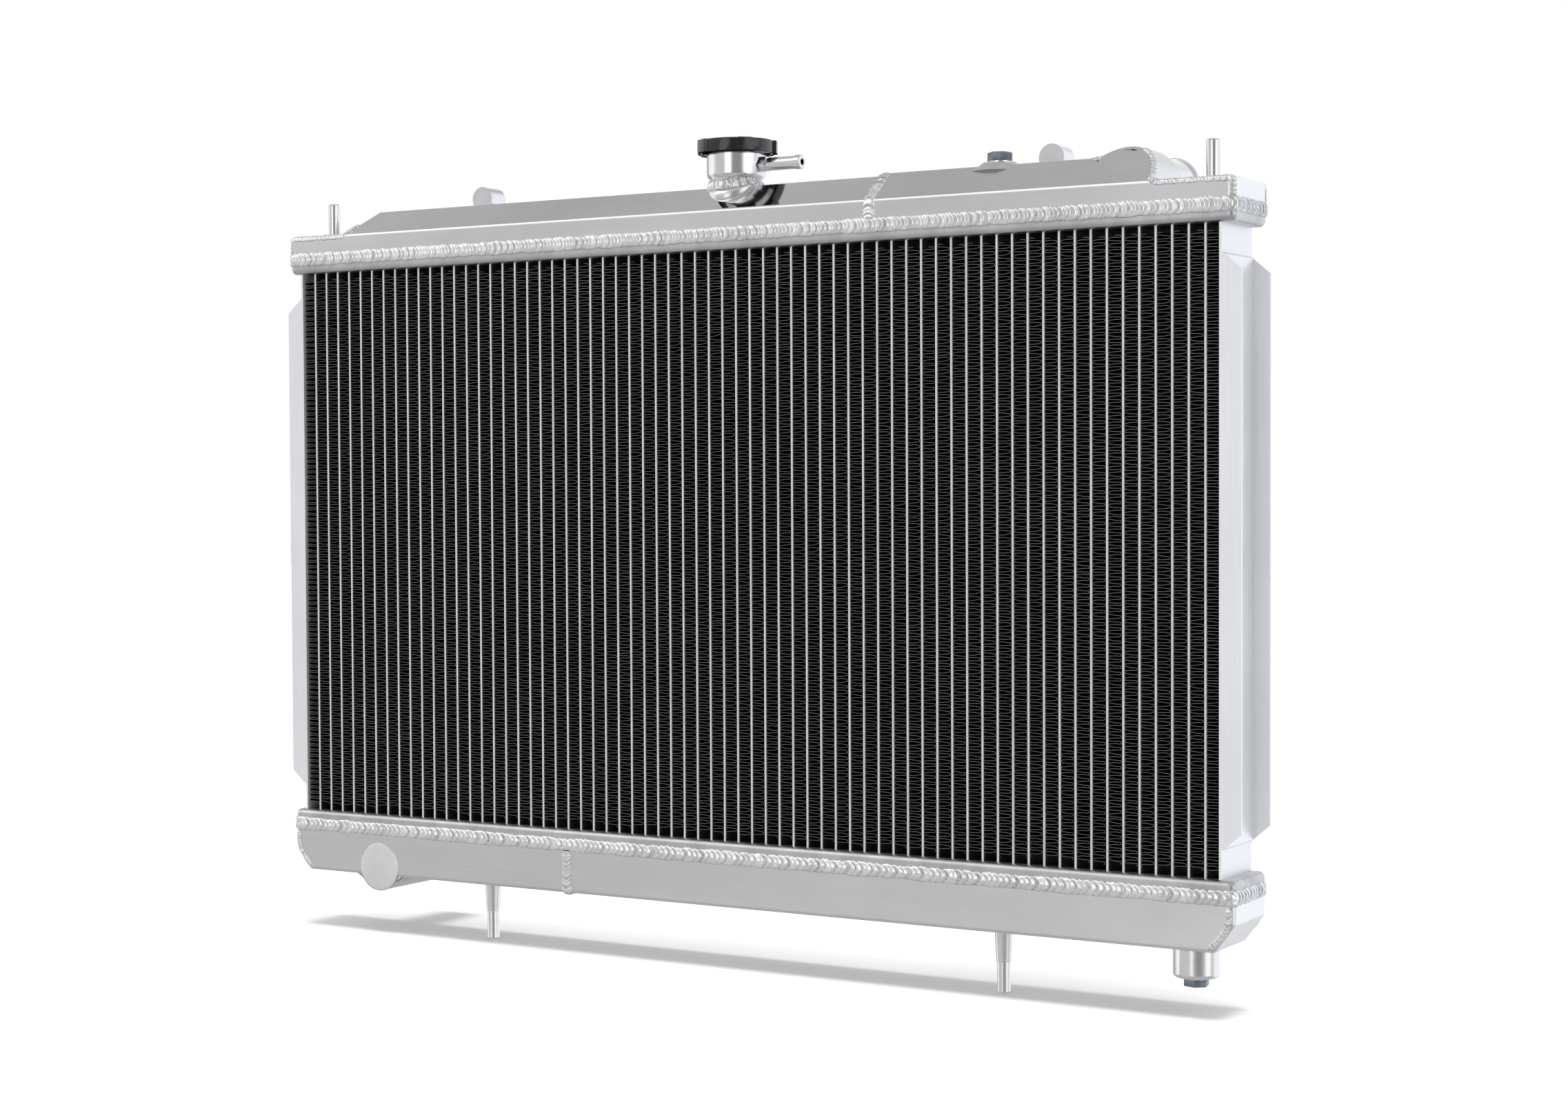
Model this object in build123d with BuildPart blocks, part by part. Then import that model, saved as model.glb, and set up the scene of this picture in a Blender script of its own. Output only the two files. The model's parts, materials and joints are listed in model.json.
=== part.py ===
from build123d import *
from math import radians, sin, tan
import os

# A down-flow car radiator welded from aluminium: two welded sheet tanks, a core of flat tubes and
# folded fins, a filler neck with a pressure cap, pins to locate it and pipes for the hoses.
# Millimetres. The origin is midway between the two lower pegs, level with their shoulders.
# +X runs along the width, +Y goes back towards the engine and +Z goes up.

# Core
TUBE_PITCH = 10.0
TUBE_COUNT = 66
TUBE_WIDTH = 2.0
TUBE_DEPTH = 20.0
TUBE_WALL = 0.35
ROW_GAP = 2.0
TUBE_END = 6.0  # how far a tube reaches past the core into each tank
CORE_HEIGHT = 367.6
CORE_FRONT = -18.0
CORE_DEPTH = 2 * TUBE_DEPTH + ROW_GAP
CORE_BACK = CORE_FRONT + CORE_DEPTH
FIN_WIDTH = TUBE_PITCH - TUBE_WIDTH
FIN_LEGS = 30
FIN_FOIL = 0.48  # foil thickness measured along X
FIN_MARGIN = 3.0
END_PLATE_THICKNESS = 1.5
END_PLATE_OVERHANG = 2.0
END_PLATE_X = (TUBE_COUNT + 1) * TUBE_PITCH / 2 - 1.0
CHANNEL_THICKNESS = 1.5
CHANNEL_TIP_X = 347.2
CHANNEL_MARGIN = 16.5  # from each end of the core
CHANNEL_CHAMFER = 10.0

# Tanks and header plates
TANK_HALF_WIDTH = 344.0
TANK_FRONT = -22.0
TANK_DEPTH = 50.0
TANK_BACK = TANK_FRONT + TANK_DEPTH
TANK_MIDDLE = (TANK_FRONT + TANK_BACK) / 2
WALL = 3.0
CORNER = 4.0
BEND = 2.5  # outside radius of the folds in the tank sheet
FACET_BEND = 3.0
HEADER_THICKNESS = 2.0
HEADER_HEIGHT = 12.0
BOTTOM_Z = 20.4  # the underside of the bottom tank
BOTTOM_TANK_HEIGHT = 41.3
CORE_BOTTOM = BOTTOM_Z + BOTTOM_TANK_HEIGHT
CORE_TOP = CORE_BOTTOM + CORE_HEIGHT
BOTTOM_JOINT_Z = CORE_BOTTOM - HEADER_HEIGHT
TOP_JOINT_Z = CORE_TOP + HEADER_HEIGHT
SHELF_Z = CORE_TOP + 24.9
LEFT_TOP_Z = SHELF_Z + 16.0
RIGHT_TOP_Z = SHELF_Z + 17.8
FACET_ANGLE = 40.0
RAISED_LEFT_X = -296.0
TOP_SEAM_X = 112.0
BOTTOM_SEAM_X = -113.5
CAP_START_X = 297.0
ARCH_X = 269.0
ARCH_Z = SHELF_Z - 0.7
ARCH_RADIUS = 24.6
END_CHAMFER_X = 12.5
END_CHAMFER_Z = 16.7

# Pipes
PIPE_RADIUS = 16.0
PIPE_WALL = 2.0
PIPE_LENGTH = 45.0  # behind the tank
PIPE_BEAD = 1.2
INLET_Z = SHELF_Z + 6.3
OUTLET_X = -269.5
OUTLET_Z = BOTTOM_Z + 6.1

# Filler neck and overflow nipple
NECK_Y = 8.0
NECK_RADIUS = 18.7
NECK_BORE = 16.6
NECK_BOTTOM_Z = SHELF_Z + 20.3
SEAT_THICKNESS = 3.5
SEAT_Z = NECK_BOTTOM_Z + SEAT_THICKNESS
SEAT_BORE = 12.0
STUB_RADIUS = 15.5
STUB_BORE = 12.5
FLANGE_Z = NECK_BOTTOM_Z + 19.5
FLANGE_THICKNESS = 1.5
FLANGE_RADIUS = 21.5
NIPPLE_Z = NECK_BOTTOM_Z + 9.5
NIPPLE_RADIUS = 4.1
NIPPLE_BORE = 2.0
NIPPLE_END_X = 48.0

# Pressure cap
CAP_BOTTOM_Z = FLANGE_Z - 2.3
CAP_HEIGHT = 8.1
CAP_TOP_Z = CAP_BOTTOM_Z + CAP_HEIGHT
CAP_RADIUS = 24.3
LOBE_RADIUS = 26.0
LOBE_WIDTH = 9.6
LOBE_COUNT = 5
LOBE_ANGLE = -45.5
CAP_ROOF = 2.5
CAP_BORE = 23.0
EAR_ANGLE = 40.0
VALVE_LIFT = 2.5
VALVE_DROP = 1.2

# Pins, pegs, plugs and bosses
PIN_RADIUS = 4.0
UPPER_PIN_X = 322.5
UPPER_PIN_TOP = SHELF_Z + 23.8
LOWER_PEG_X = 190.0
LOWER_PEG_LENGTH = 18.5
PLUG_FLATS = 13.0
BLEED_X = 183.5
BLEED_Y = 10.0
BLEED_SHANK = 5.0
DRAIN_X = 312.4
DRAIN_RADIUS = 13.4
DRAIN_BOSS_BOTTOM = 2.2
DRAIN_SHANK = 6.0
RUNNING_GAP = 0.05
SHROUD_X = 211.5
SHROUD_Z = SHELF_Z + 23.1
SHROUD_RADIUS = 8.2
SHROUD_FRONT = 22.0
SHROUD_LENGTH = 15.0
SHROUD_HOLE = 2.5
SHROUD_HOLE_DEPTH = 12.0

# Weld beads
BEAD_HEIGHT = 10.5
BEAD_PROUD = 1.8
BEAD_START = 4.5  # from the core to the near edge of the bead
SEAM_PROUD = 1.5
SEAM_WIDTH = 8.0

os.makedirs("parts", exist_ok=True)


def write(piece, name):
    """Labels a finished piece and writes its STEP file."""
    piece.part.label = name
    export_step(piece.part, f"parts/{name}.step")


def facet_y(z, wall):
    """Where the sloping front facet of the top tank lies at height z, moved in by wall."""
    slope = radians(FACET_ANGLE)
    return TANK_FRONT + (z - SHELF_Z) / tan(slope) + wall / sin(slope)


def facet_prism(wall):
    """Everything in front of the sloping facet."""
    slope = radians(FACET_ANGLE)
    low = SHELF_Z + tan(slope) * wall * (1 - 1 / sin(slope))
    high = SHELF_Z + 40
    ahead = TANK_FRONT - 20
    fold = (TANK_FRONT + wall, low)
    with BuildPart(mode=Mode.PRIVATE) as prism:
        with BuildSketch(Plane.YZ.offset(-TANK_HALF_WIDTH)) as profile:
            Polygon(
                (ahead, TOP_JOINT_Z),
                (TANK_FRONT + wall, TOP_JOINT_Z),
                fold,
                (facet_y(high, wall), high),
                (ahead, high),
                align=None,
            )
            fillet(profile.vertices().sort_by_distance(fold)[0], FACET_BEND)
        extrude(amount=2 * TANK_HALF_WIDTH)
    return prism.part


def top_tank_block(wall):
    """The top tank as a solid, with every closed side moved in by wall."""
    foot = TOP_JOINT_Z + 2
    left_top = LEFT_TOP_Z - wall
    right_top = RIGHT_TOP_Z - wall
    left_foot = RAISED_LEFT_X + wall * 2**0.5 - (SHELF_Z - foot)
    with BuildPart(mode=Mode.PRIVATE) as block:
        with BuildSketch(Plane.XY.offset(TOP_JOINT_Z)):
            with Locations((0, TANK_MIDDLE)):
                RectangleRounded(2 * (TANK_HALF_WIDTH - wall), TANK_DEPTH - 2 * wall, CORNER - wall)
        extrude(amount=SHELF_Z - TOP_JOINT_Z - wall)
        with BuildSketch(Plane.XZ.offset(wall - TANK_BACK)):
            Polygon(
                (left_foot, foot),
                (left_foot + left_top - foot, left_top),
                (TOP_SEAM_X, left_top),
                (TOP_SEAM_X, right_top),
                (ARCH_X, right_top),
                (ARCH_X, foot),
                align=None,
            )
            with Locations((ARCH_X, ARCH_Z)):
                Circle(ARCH_RADIUS - wall)
            with Locations((ARCH_X, foot - ARCH_RADIUS)):
                Rectangle(4 * ARCH_RADIUS, 2 * ARCH_RADIUS, mode=Mode.SUBTRACT)
        extrude(amount=TANK_DEPTH - 2 * wall)
        add(facet_prism(wall), mode=Mode.SUBTRACT)
    return block.part


def bottom_tank_block(wall):
    """The bottom tank as a solid, with every closed side moved in by wall."""
    with BuildPart(mode=Mode.PRIVATE) as block:
        with BuildSketch(Plane.XZ.offset(wall - TANK_BACK)):
            Polygon(
                (-TANK_HALF_WIDTH, BOTTOM_JOINT_Z + wall),
                (TANK_HALF_WIDTH, BOTTOM_JOINT_Z + wall),
                (TANK_HALF_WIDTH, BOTTOM_Z + END_CHAMFER_Z),
                (TANK_HALF_WIDTH - END_CHAMFER_X, BOTTOM_Z),
                (END_CHAMFER_X - TANK_HALF_WIDTH, BOTTOM_Z),
                (-TANK_HALF_WIDTH, BOTTOM_Z + END_CHAMFER_Z),
                align=None,
            )
            if wall:
                offset(amount=-wall, kind=Kind.INTERSECTION)
        extrude(amount=TANK_DEPTH - 2 * wall)
        fillet(block.edges().filter_by(Axis.Z), radius=CORNER - wall)
    return block.part


def side_box(x_from, x_to, y_from, y_to, z_from, z_to):
    """A plain box between two corners, used to cut or to pick out a region."""
    with BuildPart(mode=Mode.PRIVATE) as box:
        with Locations(((x_from + x_to) / 2, (y_from + y_to) / 2, (z_from + z_to) / 2)):
            Box(x_to - x_from, y_to - y_from, z_to - z_from)
    return box.part


def rod(x, y, z_from, z_to, radius):
    """A plain vertical cylinder."""
    with BuildPart(mode=Mode.PRIVATE) as cylinder:
        with BuildSketch(Plane.XY.offset(z_from)):
            with Locations((x, y)):
                Circle(radius)
        extrude(amount=z_to - z_from)
    return cylinder.part


def rod_along_y(x, z, y_from, y_to, radius):
    """A plain cylinder that runs from front to back."""
    with BuildPart(mode=Mode.PRIVATE) as cylinder:
        with BuildSketch(Plane.XZ.offset(-y_to)):
            with Locations((x, z)):
                Circle(radius)
        extrude(amount=y_to - y_from)
    return cylinder.part


# Core tubes: two rows of flat tubes, front and rear
def tube_slots(y_middle, depth, width, mode=Mode.ADD):
    """The cross-section of one row of tubes."""
    with Locations((0, y_middle)):
        with GridLocations(TUBE_PITCH, TUBE_PITCH, TUBE_COUNT, 1):
            SlotOverall(depth, width, rotation=90, mode=mode)


FRONT_ROW_Y = CORE_FRONT + TUBE_DEPTH / 2
REAR_ROW_Y = CORE_BACK - TUBE_DEPTH / 2
for row_name, row_y in (("tube_row_front", FRONT_ROW_Y), ("tube_row_rear", REAR_ROW_Y)):
    with BuildPart() as tube_row:
        with BuildSketch(Plane.XY.offset(CORE_BOTTOM - TUBE_END)):
            tube_slots(row_y, TUBE_DEPTH, TUBE_WIDTH)
            tube_slots(row_y, TUBE_DEPTH - 2 * TUBE_WALL, TUBE_WIDTH - 2 * TUBE_WALL, Mode.SUBTRACT)
        extrude(amount=CORE_HEIGHT + 2 * TUBE_END)
    write(tube_row, row_name)

# Fins: one zigzag strip of foil between each two tubes
fin_rise = (CORE_HEIGHT - 2 * FIN_MARGIN) / FIN_LEGS
fin_swing = (FIN_WIDTH - FIN_FOIL) / 2
fin_line = [
    (fin_swing * (1 if leg % 2 else -1), CORE_BOTTOM + FIN_MARGIN + leg * fin_rise)
    for leg in range(FIN_LEGS + 1)
]
fin_left = [(x - FIN_FOIL / 2, z) for x, z in fin_line]
fin_right = [(x + FIN_FOIL / 2, z) for x, z in reversed(fin_line)]
with BuildPart() as core_fins:
    with BuildSketch(Plane.XZ.offset(-CORE_BACK)):
        with GridLocations(TUBE_PITCH, TUBE_PITCH, TUBE_COUNT + 1, 1):
            Polygon(*fin_left, *fin_right, align=None)
    extrude(amount=CORE_DEPTH)
write(core_fins, "core_fins")

# End plates beside the outer fins
plate_front = CORE_FRONT - END_PLATE_OVERHANG
plate_back = CORE_BACK + END_PLATE_OVERHANG
with BuildPart() as end_plate_right:
    add(
        side_box(
            END_PLATE_X,
            END_PLATE_X + END_PLATE_THICKNESS,
            plate_front,
            plate_back,
            CORE_BOTTOM,
            CORE_TOP,
        )
    )
write(end_plate_right, "end_plate_right")

with BuildPart() as end_plate_left:
    mirror(end_plate_right.part, about=Plane.YZ)
write(end_plate_left, "end_plate_left")

# Side channels: a web on the end plate with two flanges that point outwards
channel_x = END_PLATE_X + END_PLATE_THICKNESS
channel_low = CORE_BOTTOM + CHANNEL_MARGIN
channel_high = CORE_TOP - CHANNEL_MARGIN
with BuildPart() as side_channel_right:
    with BuildSketch(Plane.XZ.offset(-plate_back)):
        Polygon(
            (channel_x, channel_low),
            (CHANNEL_TIP_X, channel_low + CHANNEL_CHAMFER),
            (CHANNEL_TIP_X, channel_high - CHANNEL_CHAMFER),
            (channel_x, channel_high),
            align=None,
        )
    extrude(amount=plate_back - plate_front)
    add(
        side_box(
            channel_x + CHANNEL_THICKNESS,
            CHANNEL_TIP_X + 1,
            plate_front + CHANNEL_THICKNESS,
            plate_back - CHANNEL_THICKNESS,
            CORE_BOTTOM,
            CORE_TOP,
        ),
        mode=Mode.SUBTRACT,
    )
write(side_channel_right, "side_channel_right")

with BuildPart() as side_channel_left:
    mirror(side_channel_right.part, about=Plane.YZ)
write(side_channel_left, "side_channel_left")


# Header plates: shallow pans with a slot for every tube
def header_plate(core_face, direction):
    """A pan whose flat side lies on the core and whose rim points into the tank."""
    plate = Plane(origin=(0, TANK_MIDDLE, core_face), z_dir=(0, 0, direction))
    row_offset = (TUBE_DEPTH + ROW_GAP) / 2
    core_offset = (CORE_FRONT + CORE_BACK) / 2 - TANK_MIDDLE
    width, depth = 2 * TANK_HALF_WIDTH, TANK_DEPTH
    thickness = HEADER_THICKNESS
    with BuildPart(mode=Mode.PRIVATE) as pan:
        with BuildSketch(plate):
            RectangleRounded(width, depth, CORNER)
        extrude(amount=HEADER_HEIGHT)
        fillet(pan.faces().filter_by(Plane.XY).sort_by_distance((0, 0, core_face))[0].edges(), CORNER - 0.5)
        with BuildSketch(plate.offset(thickness)):
            RectangleRounded(width - 2 * thickness, depth - 2 * thickness, CORNER - thickness)
        extrude(amount=HEADER_HEIGHT, mode=Mode.SUBTRACT)
        with BuildSketch(plate):
            for row in (core_offset - row_offset, core_offset + row_offset):
                tube_slots(row, TUBE_DEPTH, TUBE_WIDTH)
        extrude(amount=thickness, mode=Mode.SUBTRACT)
    return pan.part


with BuildPart() as top_header_plate:
    add(header_plate(CORE_TOP, 1))
write(top_header_plate, "top_header_plate")

with BuildPart() as bottom_header_plate:
    add(header_plate(CORE_BOTTOM, -1))
write(bottom_header_plate, "bottom_header_plate")

# Top tank: two lengths of folded sheet, two end caps and a curved plate beside the inlet
with BuildPart() as top_outline:
    add(top_tank_block(0))
    left_bends = top_outline.edges().filter_by(
        lambda edge: edge.center().Z > SHELF_Z + 1 and edge.length > 15 and edge.center().X < TOP_SEAM_X - 1
    )
    fillet(left_bends, BEND)
    right_bends = top_outline.edges().filter_by(Axis.X).filter_by(
        lambda edge: edge.center().Z > SHELF_Z + 1 and edge.center().X > TOP_SEAM_X
    )
    fillet(right_bends, BEND)
    arch_back = top_outline.edges().filter_by(GeomType.CIRCLE).filter_by(
        lambda edge: abs(edge.radius - ARCH_RADIUS) < 0.01
    )
    fillet(arch_back, BEND - 0.5)
    arch_front = top_outline.edges().filter_by(GeomType.ELLIPSE)
    fillet(arch_front.sort_by(Edge.length)[-1], 1)
top_outer = top_outline.part
top_inner = top_tank_block(WALL)
inner_front = TANK_FRONT + WALL
inner_back = TANK_BACK - WALL
high = CAP_TOP_Z + 20
top_cap_region = side_box(CAP_START_X, TANK_HALF_WIDTH + 1, inner_front, inner_back, TOP_JOINT_Z, high)
inlet_hole = rod_along_y(ARCH_X, INLET_Z, TANK_MIDDLE, TANK_BACK + 1, PIPE_RADIUS)

with BuildPart() as inlet_arch:
    with BuildSketch(Plane.XZ.offset(WALL - TANK_BACK)):
        with Locations((ARCH_X, ARCH_Z)):
            Circle(ARCH_RADIUS)
            Circle(ARCH_RADIUS - WALL, mode=Mode.SUBTRACT)
        with Locations((ARCH_X + ARCH_RADIUS, SHELF_Z + ARCH_RADIUS)):
            Rectangle(2 * ARCH_RADIUS, 2 * ARCH_RADIUS, mode=Mode.INTERSECT)
    extrude(amount=TANK_DEPTH)
    add(facet_prism(WALL), mode=Mode.SUBTRACT)
write(inlet_arch, "inlet_arch")

with BuildPart() as top_shell:
    add(top_outer)
    add(top_inner, mode=Mode.SUBTRACT)
    add(inlet_arch.part, mode=Mode.SUBTRACT)
    add(inlet_hole, mode=Mode.SUBTRACT)
    add(rod(0, NECK_Y, SHELF_Z, high, STUB_RADIUS), mode=Mode.SUBTRACT)
    add(rod(BLEED_X, BLEED_Y, SHELF_Z, high, BLEED_SHANK + 3), mode=Mode.SUBTRACT)

with BuildPart() as top_end_cap_right:
    add(top_shell.part)
    add(top_cap_region, mode=Mode.INTERSECT)
write(top_end_cap_right, "top_end_cap_right")

with BuildPart() as top_end_cap_left:
    mirror(top_end_cap_right.part, about=Plane.YZ)
write(top_end_cap_left, "top_end_cap_left")

with BuildPart() as top_folded_sheet:
    add(top_shell.part)
    add(top_cap_region, mode=Mode.SUBTRACT)
    add(mirror(top_cap_region, about=Plane.YZ), mode=Mode.SUBTRACT)

with BuildPart() as top_tank_left:
    add(top_folded_sheet.part)
    split(bisect_by=Plane.YZ.offset(TOP_SEAM_X), keep=Keep.BOTTOM)
write(top_tank_left, "top_tank_left")

with BuildPart() as top_tank_right:
    add(top_folded_sheet.part)
    split(bisect_by=Plane.YZ.offset(TOP_SEAM_X), keep=Keep.TOP)
write(top_tank_right, "top_tank_right")

# Bottom tank: two lengths of folded sheet and two end caps
with BuildPart() as bottom_outline:
    add(bottom_tank_block(0))
    lower_bends = bottom_outline.edges().filter_by(lambda edge: edge.center().Z < BOTTOM_Z + END_CHAMFER_Z - 1)
    fillet(lower_bends, BEND)
bottom_outer = bottom_outline.part
bottom_inner = bottom_tank_block(WALL)
low = DRAIN_BOSS_BOTTOM - 20
bottom_cap_start = TANK_HALF_WIDTH - END_CHAMFER_X - 2
bottom_cap_region = side_box(
    bottom_cap_start, TANK_HALF_WIDTH + 1, inner_front, inner_back, low, BOTTOM_JOINT_Z
)
outlet_hole = rod_along_y(OUTLET_X, OUTLET_Z, TANK_FRONT - 1, TANK_BACK + 1, PIPE_RADIUS)

with BuildPart() as bottom_shell:
    add(bottom_outer)
    add(bottom_inner, mode=Mode.SUBTRACT)
    add(outlet_hole, mode=Mode.SUBTRACT)
    add(rod(DRAIN_X, 0, low, BOTTOM_Z + WALL + 1, DRAIN_SHANK), mode=Mode.SUBTRACT)

with BuildPart() as bottom_end_cap_right:
    add(bottom_shell.part)
    add(bottom_cap_region, mode=Mode.INTERSECT)
write(bottom_end_cap_right, "bottom_end_cap_right")

with BuildPart() as bottom_end_cap_left:
    mirror(bottom_end_cap_right.part, about=Plane.YZ)
write(bottom_end_cap_left, "bottom_end_cap_left")

with BuildPart() as bottom_folded_sheet:
    add(bottom_shell.part)
    add(bottom_cap_region, mode=Mode.SUBTRACT)
    add(mirror(bottom_cap_region, about=Plane.YZ), mode=Mode.SUBTRACT)

with BuildPart() as bottom_tank_left:
    add(bottom_folded_sheet.part)
    split(bisect_by=Plane.YZ.offset(BOTTOM_SEAM_X), keep=Keep.BOTTOM)
write(bottom_tank_left, "bottom_tank_left")

with BuildPart() as bottom_tank_right:
    add(bottom_folded_sheet.part)
    split(bisect_by=Plane.YZ.offset(BOTTOM_SEAM_X), keep=Keep.TOP)
write(bottom_tank_right, "bottom_tank_right")


# Hose pipes, each with a rolled bead near its mouth
def hose_pipe(x, z, y_from):
    """A pipe from y_from to its mouth behind the tank."""
    mouth = TANK_BACK + PIPE_LENGTH
    bead_back = mouth - 3
    with BuildPart(mode=Mode.PRIVATE) as pipe:
        add(rod_along_y(x, z, y_from, mouth, PIPE_RADIUS))
        add(rod_along_y(x, z, bead_back - 3, bead_back, PIPE_RADIUS + PIPE_BEAD))
        bead_edges = pipe.edges().filter_by(GeomType.CIRCLE).filter_by(
            lambda edge: edge.radius > PIPE_RADIUS + PIPE_BEAD / 2
        )
        fillet(bead_edges, PIPE_BEAD - 0.1)
        add(rod_along_y(x, z, y_from - 1, mouth + 1, PIPE_RADIUS - PIPE_WALL), mode=Mode.SUBTRACT)
    return pipe.part


with BuildPart() as inlet_pipe:
    add(hose_pipe(ARCH_X, INLET_Z, inner_back))
write(inlet_pipe, "inlet_pipe")

# The outlet pipe lies half in the tank's floor; its upper side is cut away inside the tank
with BuildPart() as outlet_pipe:
    add(hose_pipe(OUTLET_X, OUTLET_Z, TANK_FRONT))
    add(
        side_box(
            OUTLET_X - 2 * PIPE_RADIUS,
            OUTLET_X + 2 * PIPE_RADIUS,
            inner_front,
            inner_back,
            BOTTOM_Z + WALL,
            BOTTOM_JOINT_Z,
        ),
        mode=Mode.SUBTRACT,
    )
write(outlet_pipe, "outlet_pipe")

with BuildPart() as outlet_pipe_disc:
    add(rod_along_y(OUTLET_X, OUTLET_Z, TANK_FRONT, inner_front, PIPE_RADIUS - PIPE_WALL))
write(outlet_pipe_disc, "outlet_pipe_disc")

# Filler neck: a cup with a valve seat and a cam flange, on a stub in the tank's roof
neck_axis = Plane(origin=(0, NECK_Y, 0), x_dir=(1, 0, 0), z_dir=(0, -1, 0))
flange_top = FLANGE_Z + FLANGE_THICKNESS
with BuildPart() as filler_neck:
    with BuildSketch(neck_axis):
        Polygon(
            (STUB_BORE, SHELF_Z),
            (STUB_RADIUS, SHELF_Z),
            (STUB_RADIUS, NECK_BOTTOM_Z),
            (NECK_RADIUS - 3, NECK_BOTTOM_Z),
            (NECK_RADIUS, NECK_BOTTOM_Z + 3),
            (NECK_RADIUS, FLANGE_Z),
            (FLANGE_RADIUS, FLANGE_Z),
            (FLANGE_RADIUS, flange_top),
            (NECK_BORE, flange_top),
            (NECK_BORE, SEAT_Z),
            (SEAT_BORE, SEAT_Z),
            (SEAT_BORE, NECK_BOTTOM_Z),
            (STUB_BORE, NECK_BOTTOM_Z),
            align=None,
        )
    revolve(axis=Axis((0, NECK_Y, 0), (0, 0, 1)))
    fillet(
        filler_neck.edges()
        .filter_by(GeomType.CIRCLE)
        .filter_by(lambda edge: abs(edge.radius - NECK_RADIUS) < 0.01)
        .sort_by(Axis.Z)[0],
        3,
    )
    # Two notches let the cap's ears drop past the cam flange a quarter turn away from the lock
    with BuildSketch(Plane.XY.offset(FLANGE_Z)):
        with Locations((0, NECK_Y)):
            Rectangle(16, 2 * FLANGE_RADIUS + 2)
            Circle(NECK_RADIUS + 0.3, mode=Mode.SUBTRACT)
    extrude(amount=FLANGE_THICKNESS, mode=Mode.SUBTRACT)
    with BuildSketch(Plane.YZ.offset(NECK_BORE - 2)):
        with Locations((NECK_Y, NIPPLE_Z)):
            Circle(NIPPLE_RADIUS - 0.6)
    extrude(amount=6, mode=Mode.SUBTRACT)
    add(top_inner, mode=Mode.SUBTRACT)
write(filler_neck, "filler_neck")

# Overflow nipple: a hexagon, a spigot into the cup and a barbed tube
with BuildPart() as overflow_nipple:
    with BuildSketch(Plane.YZ.offset(NECK_RADIUS)):
        with Locations((NECK_Y, NIPPLE_Z)):
            RegularPolygon(5.4, 6)
    extrude(amount=4.5)
    with BuildSketch(Plane.YZ.offset(NECK_RADIUS)):
        with Locations((NECK_Y, NIPPLE_Z)):
            Circle(NIPPLE_RADIUS)
    extrude(amount=NIPPLE_END_X - NECK_RADIUS - 1)
    with BuildSketch(Plane.YZ.offset(NIPPLE_END_X - 4)):
        with Locations((NECK_Y, NIPPLE_Z)):
            Circle(NIPPLE_RADIUS + 0.4)
    extrude(amount=4)
    fillet(overflow_nipple.faces().sort_by(Axis.X)[-1].edges(), 0.8)
    add(filler_neck.part, mode=Mode.SUBTRACT)
    with BuildSketch(Plane.YZ.offset(NECK_BORE)):
        with Locations((NECK_Y, NIPPLE_Z)):
            Circle(NIPPLE_RADIUS - 0.6)
    extrude(amount=4)
    with BuildSketch(Plane.YZ.offset(NECK_BORE - 1)):
        with Locations((NECK_Y, NIPPLE_Z)):
            Circle(NIPPLE_BORE)
    extrude(amount=NIPPLE_END_X, mode=Mode.SUBTRACT)
write(overflow_nipple, "overflow_nipple")

# Pressure cap: a lobed shell over a steel bayonet ring, seals, springs and two valves
with BuildPart() as cap_shell:
    with BuildSketch(Plane.XY.offset(CAP_BOTTOM_Z)):
        with Locations((0, NECK_Y)):
            Circle(CAP_RADIUS)
            with PolarLocations(0, LOBE_COUNT, start_angle=LOBE_ANGLE):
                with Locations((LOBE_RADIUS / 2, 0)):
                    Rectangle(LOBE_RADIUS, LOBE_WIDTH)
            Circle(LOBE_RADIUS, mode=Mode.INTERSECT)
    extrude(amount=CAP_HEIGHT)
    fillet(cap_shell.faces().sort_by(Axis.Z)[-1].edges(), 0.8)
    add(rod(0, NECK_Y, CAP_BOTTOM_Z - 1, CAP_TOP_Z - CAP_ROOF, CAP_BORE), mode=Mode.SUBTRACT)
write(cap_shell, "cap_shell")

roof_z = CAP_TOP_Z - CAP_ROOF
ring_plate = 0.8
ear_bottom = CAP_BOTTOM_Z + 0.4
with BuildPart() as cap_bayonet:
    add(rod(0, NECK_Y, ear_bottom, roof_z, CAP_BORE))
    add(rod(0, NECK_Y, ear_bottom - 1, roof_z - ring_plate, FLANGE_RADIUS + 0.3), mode=Mode.SUBTRACT)
    add(rod(0, NECK_Y, ear_bottom, roof_z + 1, 3.0), mode=Mode.SUBTRACT)
    with BuildSketch(Plane.XY.offset(ear_bottom)):
        with Locations((0, NECK_Y)):
            Circle(FLANGE_RADIUS + 0.3)
            Circle(NECK_RADIUS + 0.5, mode=Mode.SUBTRACT)
            Rectangle(3 * FLANGE_RADIUS, 14, mode=Mode.INTERSECT)
    extrude(amount=FLANGE_Z - ear_bottom - 0.3)
write(cap_bayonet, "cap_bayonet")

with BuildPart() as cap_top_seal:
    with BuildSketch(Plane.XY.offset(flange_top)):
        with Locations((0, NECK_Y)):
            Circle(FLANGE_RADIUS - 0.6)
            Circle(3.0, mode=Mode.SUBTRACT)
    extrude(amount=roof_z - ring_plate - flange_top)
write(cap_top_seal, "cap_top_seal")

guide_top = flange_top
guide_radius = 12.9
with BuildPart() as cap_spring_guide:
    add(rod(0, NECK_Y, SEAT_Z + 8.5, guide_top, guide_radius))
    add(rod(0, NECK_Y, SEAT_Z + 8, guide_top - 1, guide_radius - 0.7), mode=Mode.SUBTRACT)
    add(rod(0, NECK_Y, SEAT_Z, guide_top + 1, 3.0), mode=Mode.SUBTRACT)
write(cap_spring_guide, "cap_spring_guide")

with BuildPart() as cap_rivet:
    add(rod(0, NECK_Y, guide_top - 3.2, roof_z, 3.0))
    add(rod(0, NECK_Y, guide_top - 3.2, guide_top - 1, 4.5))
write(cap_rivet, "cap_rivet")

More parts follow.
